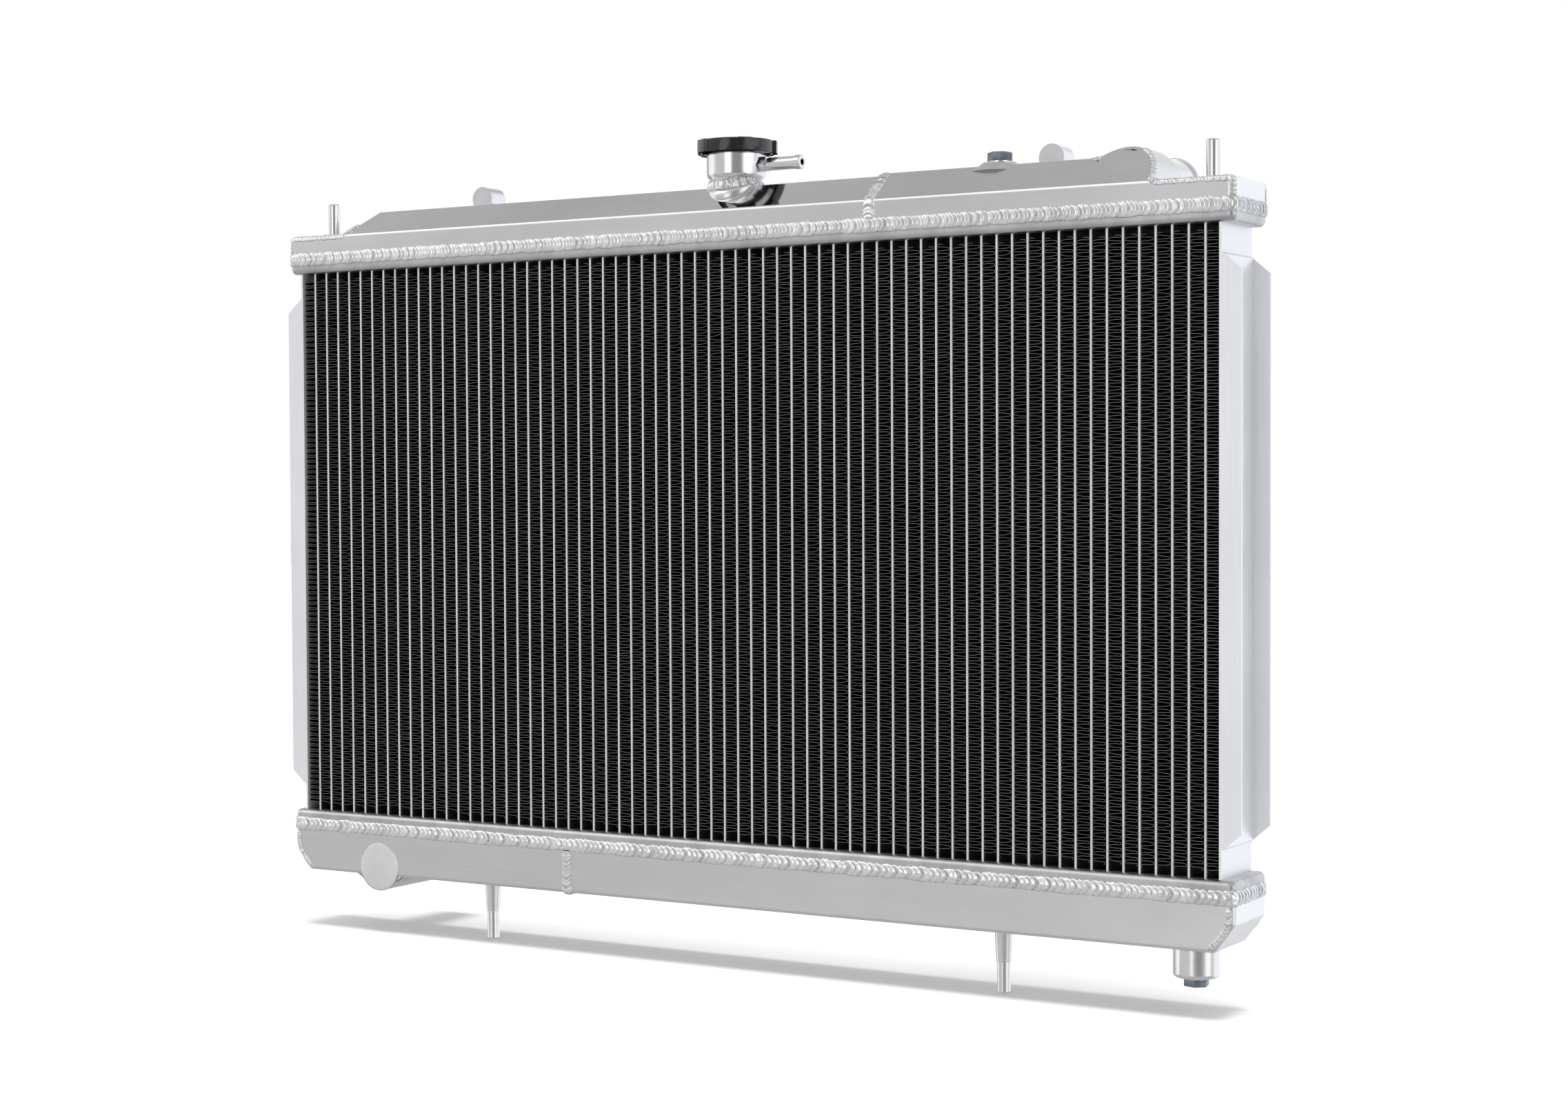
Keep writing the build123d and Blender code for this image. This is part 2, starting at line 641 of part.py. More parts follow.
plate_z = SEAT_Z + 1.5
plate_thickness = 1.0
with BuildPart() as pressure_seal:
    with BuildSketch(Plane.XY.offset(SEAT_Z)):
        with Locations((0, NECK_Y)):
            Circle(15.0)
            Circle(9.0, mode=Mode.SUBTRACT)
    extrude(amount=plate_z - SEAT_Z)
write(pressure_seal, "pressure_seal")

# The valve plate's rim slides outside the spring guide
with BuildPart() as pressure_valve:
    add(rod(0, NECK_Y, plate_z, SEAT_Z + 12, guide_radius + 0.9))
    add(rod(0, NECK_Y, plate_z + plate_thickness, SEAT_Z + 13, guide_radius + 0.08), mode=Mode.SUBTRACT)
    add(rod(0, NECK_Y, SEAT_Z, plate_z + 2, 1.6), mode=Mode.SUBTRACT)
write(pressure_valve, "pressure_valve")

plate_top = plate_z + plate_thickness
with BuildPart() as vacuum_valve:
    add(rod(0, NECK_Y, plate_z - 1.1, plate_z, 7.0))
    add(rod(0, NECK_Y, plate_z - 1.1, plate_top + 4.2, 1.55))
    add(rod(0, NECK_Y, plate_top + 3.4, plate_top + 4.2, 3.2))
write(vacuum_valve, "vacuum_valve")


def coil(radius, wire, z_from, z_to, turns):
    """A coil spring that stands between two heights."""
    height = z_to - z_from - 2 * wire
    path = Pos(0, NECK_Y, z_from + wire) * Helix(height / turns, height, radius)
    with BuildPart(mode=Mode.PRIVATE) as spring:
        with BuildSketch(Plane(origin=path @ 0, z_dir=path % 0)):
            Circle(wire)
        sweep(path=path, is_frenet=True)
    return spring.part


with BuildPart() as cap_spring:
    add(coil(11.0, 0.8, plate_top + 0.02, guide_top - 1.02, 4.5))
write(cap_spring, "cap_spring")

with BuildPart() as vacuum_spring:
    add(coil(2.5, 0.3, plate_top + 0.02, plate_top + 3.38, 3))
write(vacuum_spring, "vacuum_spring")

# Bleed boss, washer and plug on the roof of the top tank
bleed_top = RIGHT_TOP_Z + 2.5
bleed_washer_top = bleed_top + 1
with BuildPart() as bleed_boss:
    add(rod(BLEED_X, BLEED_Y, RIGHT_TOP_Z, bleed_top, 10.5))
    add(rod(BLEED_X, BLEED_Y, RIGHT_TOP_Z - WALL, RIGHT_TOP_Z, BLEED_SHANK + 3))
    add(rod(BLEED_X, BLEED_Y, SHELF_Z, high, BLEED_SHANK), mode=Mode.SUBTRACT)
write(bleed_boss, "bleed_boss")


def washer(x, y, z_from, z_to, bore):
    """A flat sealing washer under a plug's head."""
    with BuildPart(mode=Mode.PRIVATE) as ring:
        add(rod(x, y, z_from, z_to, PLUG_FLATS / 2 + 0.3))
        add(rod(x, y, z_from - 1, z_to + 1, bore + 0.1), mode=Mode.SUBTRACT)
    return ring.part


def hex_plug(x, y, face, direction, head, shank, shank_length):
    """A hexagon plug whose head stands on face and whose shank points the other way."""
    out = Plane(origin=(x, y, face), x_dir=(1, 0, 0), z_dir=(0, 0, direction))
    with BuildPart(mode=Mode.PRIVATE) as plug:
        with BuildSketch(out):
            RegularPolygon(PLUG_FLATS / 2, 6, major_radius=False, rotation=20)
        extrude(amount=head)
        chamfer(plug.faces().sort_by_distance((x, y, face + direction * head))[0].edges(), 0.5)
        with BuildSketch(out):
            Circle(shank)
        extrude(amount=-shank_length)
    return plug.part


with BuildPart() as bleed_washer:
    add(washer(BLEED_X, BLEED_Y, bleed_top, bleed_washer_top, BLEED_SHANK))
write(bleed_washer, "bleed_washer")

with BuildPart() as bleed_plug:
    add(hex_plug(BLEED_X, BLEED_Y, bleed_washer_top, 1, 5.3, BLEED_SHANK - RUNNING_GAP, 9))
write(bleed_plug, "bleed_plug")

# Drain boss, washer and plug under the bottom tank
drain_washer_low = DRAIN_BOSS_BOTTOM - 1
with BuildPart() as drain_boss:
    add(rod(DRAIN_X, 0, DRAIN_BOSS_BOTTOM, BOTTOM_Z, DRAIN_RADIUS))
    fillet(drain_boss.faces().sort_by(Axis.Z)[0].edges(), 2.5)
    add(rod(DRAIN_X, 0, low, BOTTOM_Z + 1, DRAIN_SHANK), mode=Mode.SUBTRACT)
write(drain_boss, "drain_boss")

with BuildPart() as drain_washer:
    add(washer(DRAIN_X, 0, drain_washer_low, DRAIN_BOSS_BOTTOM, DRAIN_SHANK))
write(drain_washer, "drain_washer")

with BuildPart() as drain_plug:
    add(hex_plug(DRAIN_X, 0, drain_washer_low, -1, 4.2, DRAIN_SHANK - RUNNING_GAP, 14))
write(drain_plug, "drain_plug")

# Upper pins stand on domed pads on the end caps
with BuildPart() as upper_pins:
    for side in (-1, 1):
        with BuildSketch(Plane(origin=(side * UPPER_PIN_X, 0, 0), x_dir=(1, 0, 0), z_dir=(0, -1, 0))):
            with BuildLine():
                Polyline(
                    (11.5, SHELF_Z),
                    (0, SHELF_Z),
                    (0, UPPER_PIN_TOP),
                    (PIN_RADIUS - 0.8, UPPER_PIN_TOP),
                    (PIN_RADIUS, UPPER_PIN_TOP - 0.8),
                    (PIN_RADIUS, SHELF_Z + 2.8),
                )
                ThreePointArc((PIN_RADIUS, SHELF_Z + 2.8), (8.6, SHELF_Z + 1.7), (11.5, SHELF_Z))
            make_face()
        revolve(axis=Axis((side * UPPER_PIN_X, 0, 0), (0, 0, 1)))
write(upper_pins, "upper_pins")

# Lower pegs: a taper welded under the tank and a plain peg below its shoulder
with BuildPart() as lower_pegs:
    for side in (-1, 1):
        with BuildSketch(Plane(origin=(side * LOWER_PEG_X, 0, 0), x_dir=(1, 0, 0), z_dir=(0, -1, 0))):
            Polygon(
                (0, BOTTOM_Z),
                (5.6, BOTTOM_Z),
                (4.5, 0),
                (PIN_RADIUS, 0),
                (PIN_RADIUS, -LOWER_PEG_LENGTH + 0.8),
                (PIN_RADIUS - 0.8, -LOWER_PEG_LENGTH),
                (0, -LOWER_PEG_LENGTH),
                align=None,
            )
        revolve(axis=Axis((side * LOWER_PEG_X, 0, 0), (0, 0, 1)))
write(lower_pegs, "lower_pegs")

# Fan shroud bosses: threaded round bars on the rear edge of the top tank
with BuildPart() as shroud_bosses:
    for side in (-1, 1):
        add(rod_along_y(side * SHROUD_X, SHROUD_Z, SHROUD_FRONT, SHROUD_FRONT + SHROUD_LENGTH, SHROUD_RADIUS))
        add(
            side_box(
                side * SHROUD_X - 5,
                side * SHROUD_X + 5,
                SHROUD_FRONT,
                TANK_BACK,
                LEFT_TOP_Z - 1,
                SHROUD_Z,
            )
        )
        add(
            rod_along_y(
                side * SHROUD_X,
                SHROUD_Z,
                SHROUD_FRONT + SHROUD_LENGTH - SHROUD_HOLE_DEPTH,
                SHROUD_FRONT + SHROUD_LENGTH + 1,
                SHROUD_HOLE,
            ),
            mode=Mode.SUBTRACT,
        )
    add(top_outer, mode=Mode.SUBTRACT)
write(shroud_bosses, "shroud_bosses")


# Weld beads: one round each header joint, one over each tank seam, one at each fitting
def header_weld(z_from):
    """A rounded bead that runs all round a tank."""
    bead_size = (2 * (TANK_HALF_WIDTH + BEAD_PROUD), TANK_DEPTH + 2 * BEAD_PROUD)
    with BuildPart(mode=Mode.PRIVATE) as bead:
        with BuildSketch(Plane.XY.offset(z_from)):
            with Locations((0, TANK_MIDDLE)):
                RectangleRounded(*bead_size, CORNER + BEAD_PROUD)
        extrude(amount=BEAD_HEIGHT)
        rims = bead.faces().sort_by(Axis.Z)[0].edges() + bead.faces().sort_by(Axis.Z)[-1].edges()
        fillet(rims, BEAD_PROUD - 0.1)
        with BuildSketch(Plane.XY.offset(z_from)):
            with Locations((0, TANK_MIDDLE)):
                RectangleRounded(2 * TANK_HALF_WIDTH, TANK_DEPTH, CORNER)
        extrude(amount=BEAD_HEIGHT, mode=Mode.SUBTRACT)
    return bead.part


with BuildPart() as top_header_weld:
    add(header_weld(CORE_TOP + BEAD_START))
write(top_header_weld, "top_header_weld")

with BuildPart() as bottom_header_weld:
    add(header_weld(CORE_BOTTOM - BEAD_START - BEAD_HEIGHT))
write(bottom_header_weld, "bottom_header_weld")

half_seam = SEAM_WIDTH / 2
seam_top_low = CORE_TOP + BEAD_START + BEAD_HEIGHT
seam_bottom_high = CORE_BOTTOM - BEAD_START - BEAD_HEIGHT
reach = TANK_DEPTH
with BuildPart() as top_seam_weld:
    add(top_tank_block(-SEAM_PROUD))
    add(
        side_box(TOP_SEAM_X - half_seam, TOP_SEAM_X + half_seam, -reach, reach, seam_top_low, high),
        mode=Mode.INTERSECT,
    )
    add(top_outer, mode=Mode.SUBTRACT)
write(top_seam_weld, "top_seam_weld")

with BuildPart() as bottom_seam_weld:
    add(bottom_tank_block(-SEAM_PROUD))
    add(
        side_box(
            BOTTOM_SEAM_X - half_seam, BOTTOM_SEAM_X + half_seam, -reach, reach, low, seam_bottom_high
        ),
        mode=Mode.INTERSECT,
    )
    add(bottom_outer, mode=Mode.SUBTRACT)
write(bottom_seam_weld, "bottom_seam_weld")


def collar(x, y, wide_z, wide, narrow_z, narrow):
    """A cone of weld metal round an upright fitting."""
    cone = Plane(origin=(x, y, wide_z), z_dir=(0, 0, 1 if narrow_z > wide_z else -1))
    with BuildPart(mode=Mode.PRIVATE) as metal:
        with BuildSketch(cone):
            Circle(wide)
        with BuildSketch(cone.offset(abs(narrow_z - wide_z))):
            Circle(narrow)
        loft()
    return metal.part


with BuildPart() as neck_weld:
    add(collar(0, NECK_Y, SHELF_Z + 8, STUB_RADIUS + 4.5, NECK_BOTTOM_Z - 0.6, STUB_RADIUS + 0.4))
    add(rod(0, NECK_Y, SHELF_Z, high, STUB_RADIUS), mode=Mode.SUBTRACT)
    add(top_outer, mode=Mode.SUBTRACT)
write(neck_weld, "neck_weld")

with BuildPart() as bleed_weld:
    add(collar(BLEED_X, BLEED_Y, RIGHT_TOP_Z - 3, 18.5, bleed_top - 0.4, 10.9))
    add(rod(BLEED_X, BLEED_Y, RIGHT_TOP_Z, high, 10.5), mode=Mode.SUBTRACT)
    add(top_outer, mode=Mode.SUBTRACT)
    add(side_box(BLEED_X - 20, BLEED_X + 20, 26, 40, low, high), mode=Mode.SUBTRACT)
write(bleed_weld, "bleed_weld")

with BuildPart() as drain_weld:
    add(collar(DRAIN_X, 0, BOTTOM_Z, DRAIN_RADIUS + 3, BOTTOM_Z - 4, DRAIN_RADIUS + 0.4))
    add(rod(DRAIN_X, 0, low, BOTTOM_Z + 1, DRAIN_RADIUS), mode=Mode.SUBTRACT)
write(drain_weld, "drain_weld")

with BuildPart() as peg_welds:
    for side in (-1, 1):
        add(collar(side * LOWER_PEG_X, 0, BOTTOM_Z, 12.0, BOTTOM_Z - 1.8, 6.4))
    add(lower_pegs.part, mode=Mode.SUBTRACT)
write(peg_welds, "peg_welds")
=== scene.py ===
import bisect
import json
import math
import random

import bmesh
import bpy
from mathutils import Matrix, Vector, noise

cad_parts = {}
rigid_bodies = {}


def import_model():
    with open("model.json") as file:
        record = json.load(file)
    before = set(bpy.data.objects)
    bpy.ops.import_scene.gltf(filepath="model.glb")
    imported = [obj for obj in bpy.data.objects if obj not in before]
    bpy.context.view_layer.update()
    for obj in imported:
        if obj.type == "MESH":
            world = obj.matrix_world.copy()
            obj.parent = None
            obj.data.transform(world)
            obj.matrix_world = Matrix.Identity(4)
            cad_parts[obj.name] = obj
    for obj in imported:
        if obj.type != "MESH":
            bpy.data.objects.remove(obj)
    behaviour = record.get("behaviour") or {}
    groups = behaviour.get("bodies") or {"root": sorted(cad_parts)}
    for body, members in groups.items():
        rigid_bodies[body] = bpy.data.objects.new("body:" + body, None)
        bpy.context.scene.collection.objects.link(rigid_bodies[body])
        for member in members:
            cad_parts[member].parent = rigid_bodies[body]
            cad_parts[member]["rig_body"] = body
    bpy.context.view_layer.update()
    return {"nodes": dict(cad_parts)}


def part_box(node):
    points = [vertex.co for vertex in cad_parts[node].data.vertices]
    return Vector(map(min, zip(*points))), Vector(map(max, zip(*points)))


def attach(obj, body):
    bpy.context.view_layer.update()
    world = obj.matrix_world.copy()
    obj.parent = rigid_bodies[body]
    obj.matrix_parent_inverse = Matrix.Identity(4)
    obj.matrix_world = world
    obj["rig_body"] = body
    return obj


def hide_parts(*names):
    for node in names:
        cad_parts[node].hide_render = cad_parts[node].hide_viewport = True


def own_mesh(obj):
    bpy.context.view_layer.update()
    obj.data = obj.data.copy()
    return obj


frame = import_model()

MM = 0.001

# ---------------------------------------------------------------------------------------------
# Places, most read from the imported model and some given
# ---------------------------------------------------------------------------------------------
fins_low, fins_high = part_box("core_fins")
plate_low, plate_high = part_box("end_plate_left")
CORE_BOTTOM, CORE_TOP = plate_low.z, plate_high.z
tank_low, tank_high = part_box("bottom_header_plate")
TANK_FRONT, TANK_BACK = tank_low.y, tank_high.y
TANK_HALF = tank_high.x
TANK_MIDDLE = (TANK_FRONT + TANK_BACK) / 2
CORNER = 4.0 * MM
pins_low, pins_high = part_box("upper_pins")
SHELF_Z = pins_low.z
FLOOR_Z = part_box("lower_pegs")[0].z
BOTTOM_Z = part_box("bottom_tank_right")[0].z
TUBE_PITCH = 10 * MM
TUBE_WIDTH = 2 * MM
neck_low, neck_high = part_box("filler_neck")
cap_low, cap_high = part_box("cap_shell")
NECK = Vector(((cap_low.x + cap_high.x) / 2, (neck_low.y + neck_high.y) / 2, 0))
FACET_SLOPE = math.radians(40)
NECK_FOOT_Z = neck_high.z / MM - 21.0


# ---------------------------------------------------------------------------------------------
# Small helpers for meshes
# ---------------------------------------------------------------------------------------------
def new_piece(name, verts, faces, material, body, smooth=True, slots=None):
    """A mesh object from lists, riding on a body."""
    mesh = bpy.data.meshes.new(name)
    mesh.from_pydata([tuple(v) for v in verts], [], faces)
    mesh.validate()
    mesh.update()
    piece = bpy.data.objects.new(name, mesh)
    bpy.context.scene.collection.objects.link(piece)
    for each in material if isinstance(material, list) else [material]:
        mesh.materials.append(each)
    if slots:
        for polygon, slot in zip(mesh.polygons, slots):
            polygon.material_index = slot
    for polygon in mesh.polygons:
        polygon.use_smooth = smooth
    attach(piece, body)
    return piece


def dress(nodes, material):
    """Gives CAD nodes a material."""
    for name in nodes:
        piece = frame["nodes"][name]
        piece.data.materials.clear()
        piece.data.materials.append(material)


# ---------------------------------------------------------------------------------------------
# Materials
# ---------------------------------------------------------------------------------------------
class Nodes:
    """A short way to build a material's node tree."""

    def __init__(self, name):
        self.material = bpy.data.materials.new(name)
        self.material.use_nodes = True
        self.tree = self.material.node_tree
        self.shader = self.tree.nodes["Principled BSDF"]

    def add(self, kind, **values):
        node = self.tree.nodes.new(kind)
        for key, value in values.items():
            if hasattr(node, key):
                setattr(node, key, value)
            else:
                node.inputs[key.replace("_", " ")].default_value = value
        return node

    def link(self, source, target):
        self.tree.links.new(source, target)

    def object_coordinates(self, scale):
        coordinates = self.add("ShaderNodeTexCoord")
        mapping = self.add("ShaderNodeMapping")
        mapping.inputs["Scale"].default_value = scale
        self.link(coordinates.outputs["Object"], mapping.inputs["Vector"])
        return mapping.outputs["Vector"]

    def noise(self, scale, detail=3.0, stretch=(1, 1, 1), roughness=0.5):
        node = self.add("ShaderNodeTexNoise", Scale=scale, Detail=detail, Roughness=roughness)
        self.link(self.object_coordinates(stretch), node.inputs["Vector"])
        return node.outputs["Fac"]

    def ramp(self, source, stops):
        node = self.add("ShaderNodeValToRGB")
        elements = node.color_ramp.elements
        while len(elements) < len(stops):
            elements.new(0.5)
        for element, (position, colour) in zip(elements, stops):
            element.position = position
            element.color = colour if len(colour) == 4 else (*colour, 1)
        self.link(source, node.inputs["Fac"])
        return node.outputs["Color"]

    def span(self, source, low, high, from_low=0.0, from_high=1.0):
        node = self.add("ShaderNodeMapRange")
        node.inputs["From Min"].default_value = from_low
        node.inputs["From Max"].default_value = from_high
        node.inputs["To Min"].default_value = low
        node.inputs["To Max"].default_value = high
        self.link(source, node.inputs["Value"])
        return node.outputs["Result"]

    def mix(self, factor, first, second):
        node = self.add("ShaderNodeMix", data_type="RGBA")
        self.link(factor, node.inputs["Factor"])
        self.link(first, node.inputs[6])
        self.link(second, node.inputs[7])
        return node.outputs[2]

    def math(self, operation, first, second=None):
        node = self.add("ShaderNodeMath", operation=operation)
        for socket, value in zip(node.inputs, (first, second)):
            if isinstance(value, (int, float)):
                socket.default_value = value
            elif value is not None:
                self.link(value, socket)
        return node.outputs["Value"]

    def bump(self, height, strength, distance):
        node = self.add("ShaderNodeBump", Strength=strength, Distance=distance)
        self.link(height, node.inputs["Height"])
        self.link(node.outputs["Normal"], self.shader.inputs["Normal"])


def metal(name, dark, light, rough, grain, grain_scale, bump, cloud, metallic=1.0):
    """Bare metal with drawn grain, cloudy handling marks and a slightly uneven gloss."""
    m = Nodes(name)
    streaks = m.noise(grain_scale, 2.0, grain)
    clouds = m.noise(cloud, 4.0, (1, 1, 1), 0.6)
    blend = m.math("ADD", m.math("MULTIPLY", streaks, 0.35), m.math("MULTIPLY", clouds, 0.65))
    m.link(m.ramp(blend, [(0.3, dark), (0.7, light)]), m.shader.inputs["Base Color"])
    m.link(m.span(blend, rough[0], rough[1], 0.3, 0.7), m.shader.inputs["Roughness"])
    m.shader.inputs["Metallic"].default_value = metallic
    m.bump(streaks, bump, 0.0002)
    return m.material


def weld_metal():
    """Bright frozen weld pool, with painted shade in the grooves where one ripple lies over the next; the
    grooves are also rougher.
    """
    m = Nodes("weld_metal")
    clouds = m.noise(60.0, 4.0, (1, 1, 1), 0.6)
    fine = m.noise(420.0, 2.0)
    groove = m.add("ShaderNodeAttribute", attribute_name="groove").outputs["Fac"]
    bright = m.ramp(clouds, [(0.3, (0.76, 0.76, 0.765)), (0.7, (0.94, 0.94, 0.945))])
    # painted shade: the base colour goes dark in the ripple grooves, where the weld lies in shade
    groove_painted_shade = m.ramp(clouds, [(0.3, (0.3, 0.3, 0.3)), (0.7, (0.5, 0.5, 0.5))])
    m.link(m.mix(groove, bright, groove_painted_shade), m.shader.inputs["Base Color"])
    rough = m.math("ADD", m.span(clouds, 0.16, 0.3, 0.3, 0.7), m.math("MULTIPLY", groove, 0.25))
    m.link(rough, m.shader.inputs["Roughness"])
    m.shader.inputs["Metallic"].default_value = 0.88
    m.bump(fine, 0.12, 0.0002)
    return m.material


def sheet_metal():
    """Rolled tank sheet: satin walls, and a facet above them that is polished like a mirror."""
    m = Nodes("tank_sheet")
    grain = m.noise(700.0, 2.0, (0.02, 1, 1))
    clouds = m.noise(9.0, 4.0, (0.5, 1, 1), 0.6)
    spots = m.noise(60.0, 5.0, (1, 1, 1), 0.7)
    blend = m.math("ADD", m.math("MULTIPLY", grain, 0.12), m.math("MULTIPLY", clouds, 0.88))
    m.link(
        m.ramp(blend, [(0.32, (0.70, 0.705, 0.71)), (0.68, (0.85, 0.85, 0.855))]),
        m.shader.inputs["Base Color"],
    )
    geometry = m.add("ShaderNodeNewGeometry")
    dot = m.add("ShaderNodeVectorMath", operation="DOT_PRODUCT")
    dot.inputs[1].default_value = (0, -math.sin(FACET_SLOPE), math.cos(FACET_SLOPE))
    m.link(geometry.outputs["Normal"], dot.inputs[0])
    facing = m.span(dot.outputs["Value"], 0.0, 1.0, 0.93, 0.985)
    satin = m.span(m.math("ADD", blend, m.math("MULTIPLY", spots, 0.25)), 0.2, 0.34, 0.4, 0.85)
    mirror = m.span(clouds, 0.035, 0.09, 0.3, 0.7)
    rough = m.math(
        "ADD",
        m.math("MULTIPLY", mirror, facing),
        m.math("MULTIPLY", satin, m.math("SUBTRACT", 1.0, facing)),
    )
    m.link(rough, m.shader.inputs["Roughness"])
    m.shader.inputs["Metallic"].default_value = 1.0
    m.bump(m.math("MULTIPLY", grain, m.math("SUBTRACT", 1.0, facing)), 0.08, 0.0002)
    return m.material


def black_fin():
    """Fins near black and slightly uneven: a thin matt black coat, with painted shade deep in the core."""
    m = Nodes("fin_black")
    clouds = m.noise(40.0, 4.0)
    # painted shade: the near-black fin colour stands for the shade deep between the fins as well as a black
    # coat
    m.link(
        m.ramp(clouds, [(0.3, (0.012, 0.013, 0.015)), (0.7, (0.03, 0.031, 0.034))]),
        m.shader.inputs["Base Color"],
    )
    m.link(m.span(clouds, 0.35, 0.6), m.shader.inputs["Roughness"])
    m.shader.inputs["Metallic"].default_value = 0.2
    m.bump(m.noise(2500.0, 2.0), 0.15, 0.0001)
    return m.material


def part_black(name, dark, light, rough, bare):
    """Bare metal where bare(nodes, position) says 1; near black elsewhere, standing for the core's thin
    black coat and for painted shade deep between the fins.
    """
    m = Nodes(name)
    clouds = m.noise(60.0, 3.0, (1, 1, 1), 0.6)
    coordinates = m.add("ShaderNodeTexCoord")
    split = m.add("ShaderNodeSeparateXYZ")
    m.link(coordinates.outputs["Object"], split.inputs["Vector"])
    mask = bare(m, split.outputs)
    # painted shade: the dark colour off the bare parts stands for a black coat and for the shade deep in the
    # core
    black_coat_and_core_shade = m.ramp(clouds, [(0.3, (0.010, 0.010, 0.011)), (0.7, (0.02, 0.02, 0.021))])
    m.link(m.mix(mask, black_coat_and_core_shade, m.ramp(clouds, [(0.3, dark), (0.7, light)])), m.shader.inputs["Base Color"])
    m.link(mask, m.shader.inputs["Metallic"])
    m.link(m.span(mask, 0.6, rough), m.shader.inputs["Roughness"])
    m.bump(m.noise(1200.0, 2.0, (1, 1, 0.05)), 0.08, 0.0002)
    return m.material


def nose_mask(m, position):
    """The noses of the tubes at the front and back of the core."""
    middle = (fins_low.y + fins_high.y) / 2
    half = (fins_high.y - fins_low.y) / 2
    away = m.math("ABSOLUTE", m.math("SUBTRACT", position["Y"], middle))
    return m.span(away, 0.0, 1.0, half - 0.42 * MM, half - 0.2 * MM)


def header_mask(m, position):
    """All of a header plate but the strip that faces the fins."""
    core_middle = (CORE_BOTTOM + CORE_TOP) / 2
    core_half = (CORE_TOP - CORE_BOTTOM) / 2
    away_z = m.math("ABSOLUTE", m.math("SUBTRACT", position["Z"], core_middle))
    beyond = m.math("SUBTRACT", away_z, core_half)
    off_face = m.span(beyond, 0.0, 1.0, 0.1 * MM, 0.3 * MM)
    middle = (fins_low.y + fins_high.y) / 2
    half = (fins_high.y - fins_low.y) / 2
    away_y = m.math("ABSOLUTE", m.math("SUBTRACT", position["Y"], middle))
    off_front = m.span(away_y, 0.0, 1.0, half - 1 * MM, half + 0.5 * MM)
    away_x = m.math("ABSOLUTE", position["X"])
    off_end = m.span(away_x, 0.0, 1.0, fins_high.x, fins_high.x + 1 * MM)
    return m.math("MAXIMUM", off_face, m.math("MAXIMUM", off_front, off_end))


def gloss_black():
    """The lacquered cap: deep gloss with faint dust, and a dull underside."""
    m = Nodes("cap_gloss_black")
    dust = m.noise(700.0, 5.0, (1, 1, 1), 0.7)
    wear = m.noise(35.0, 3.0)
    m.link(
        m.ramp(dust, [(0.6, (0.003, 0.003, 0.0035)), (0.9, (0.02, 0.02, 0.022))]),
        m.shader.inputs["Base Color"],
    )
    geometry = m.add("ShaderNodeNewGeometry")
    split = m.add("ShaderNodeSeparateXYZ")
    m.link(geometry.outputs["Normal"], split.inputs["Vector"])
    gloss = m.span(split.outputs["Z"], 0.0, 1.0, -0.75, -0.45)
    m.link(m.math("MULTIPLY", gloss, 0.5), m.shader.inputs["Specular IOR Level"])
    m.link(m.math("MULTIPLY", gloss, 0.6), m.shader.inputs["Coat Weight"])
    worn = m.math("MULTIPLY", gloss, m.span(wear, 0.94, 0.86, 0.3, 0.75))
    m.link(m.math("SUBTRACT", 1.0, worn), m.shader.inputs["Roughness"])
    m.shader.inputs["Coat Roughness"].default_value = 0.04
    m.bump(m.noise(120.0, 2.0), 0.03, 0.0003)
    return m.material


def rubber():
    """Matt black rubber with a fine moulded grain."""
    m = Nodes("seal_rubber")
    grain = m.noise(1500.0, 3.0)
    m.link(m.ramp(grain, [(0.3, (0.012,) * 3), (0.8, (0.035,) * 3)]), m.shader.inputs["Base Color"])
    m.link(m.span(grain, 0.55, 0.8), m.shader.inputs["Roughness"])
    m.bump(grain, 0.3, 0.0001)
    return m.material


SHEET = sheet_metal()
WELD = weld_metal()
EVEN = (1, 1, 1)
ROUND_GRAIN = (0.05, 0.05, 1)
GROUND = metal(
    "ground_weld", (0.78, 0.78, 0.785), (0.89, 0.89, 0.895), (0.26, 0.38), EVEN, 500.0, 0.05, 40.0, 0.88
)
WELD_SMOOTH = metal(
    "weld_metal_smooth", (0.68, 0.68, 0.69), (0.86, 0.86, 0.865), (0.17, 0.3), EVEN, 200.0, 0.05, 40.0
)
SIDE = metal(
    "side_sheet", (0.8, 0.81, 0.83), (0.9, 0.905, 0.92), (0.26, 0.42), (1, 1, 0.03), 500.0, 0.06, 9.0, 0.72
)
TURNED = metal(
    "turned_metal", (0.74, 0.74, 0.745), (0.9, 0.9, 0.905), (0.1, 0.2), ROUND_GRAIN, 1800.0, 0.03, 40.0
)
EDGE = metal("fin_edge_metal", (0.26, 0.26, 0.265), (0.44, 0.44, 0.445), (0.3, 0.5), EVEN, 300.0, 0.05, 30.0)
STEEL = metal("pressed_steel", (0.42, 0.42, 0.43), (0.62, 0.62, 0.63), (0.2, 0.4), EVEN, 700.0, 0.08, 50.0)
# bayonet ring colour: near black, partly for a black tab and partly painted shade under the cap
STEEL_DARK = metal(
    "dark_steel_and_painted_shade", (0.03, 0.03, 0.032), (0.07, 0.07, 0.072), (0.25, 0.4), EVEN, 700.0, 0.08, 50.0
)
PLUG = metal(
    "plated_plug", (0.16, 0.19, 0.23), (0.29, 0.33, 0.38), (0.25, 0.42), (1, 1, 0.2), 900.0, 0.12, 80.0
)
BRASS = metal(
    "valve_brass", (0.6, 0.42, 0.16), (0.8, 0.62, 0.3), (0.2, 0.38), ROUND_GRAIN, 1500.0, 0.08, 40.0
)
TUBE = part_black("tube_metal", (0.82, 0.82, 0.825), (0.95, 0.95, 0.955), 0.42, nose_mask)
HEADER = part_black("header_sheet", (0.52, 0.52, 0.53), (0.68, 0.685, 0.69), 0.36, header_mask)
BLACK_FIN = black_fin()
CAP_BLACK = gloss_black()
RUBBER = rubber()

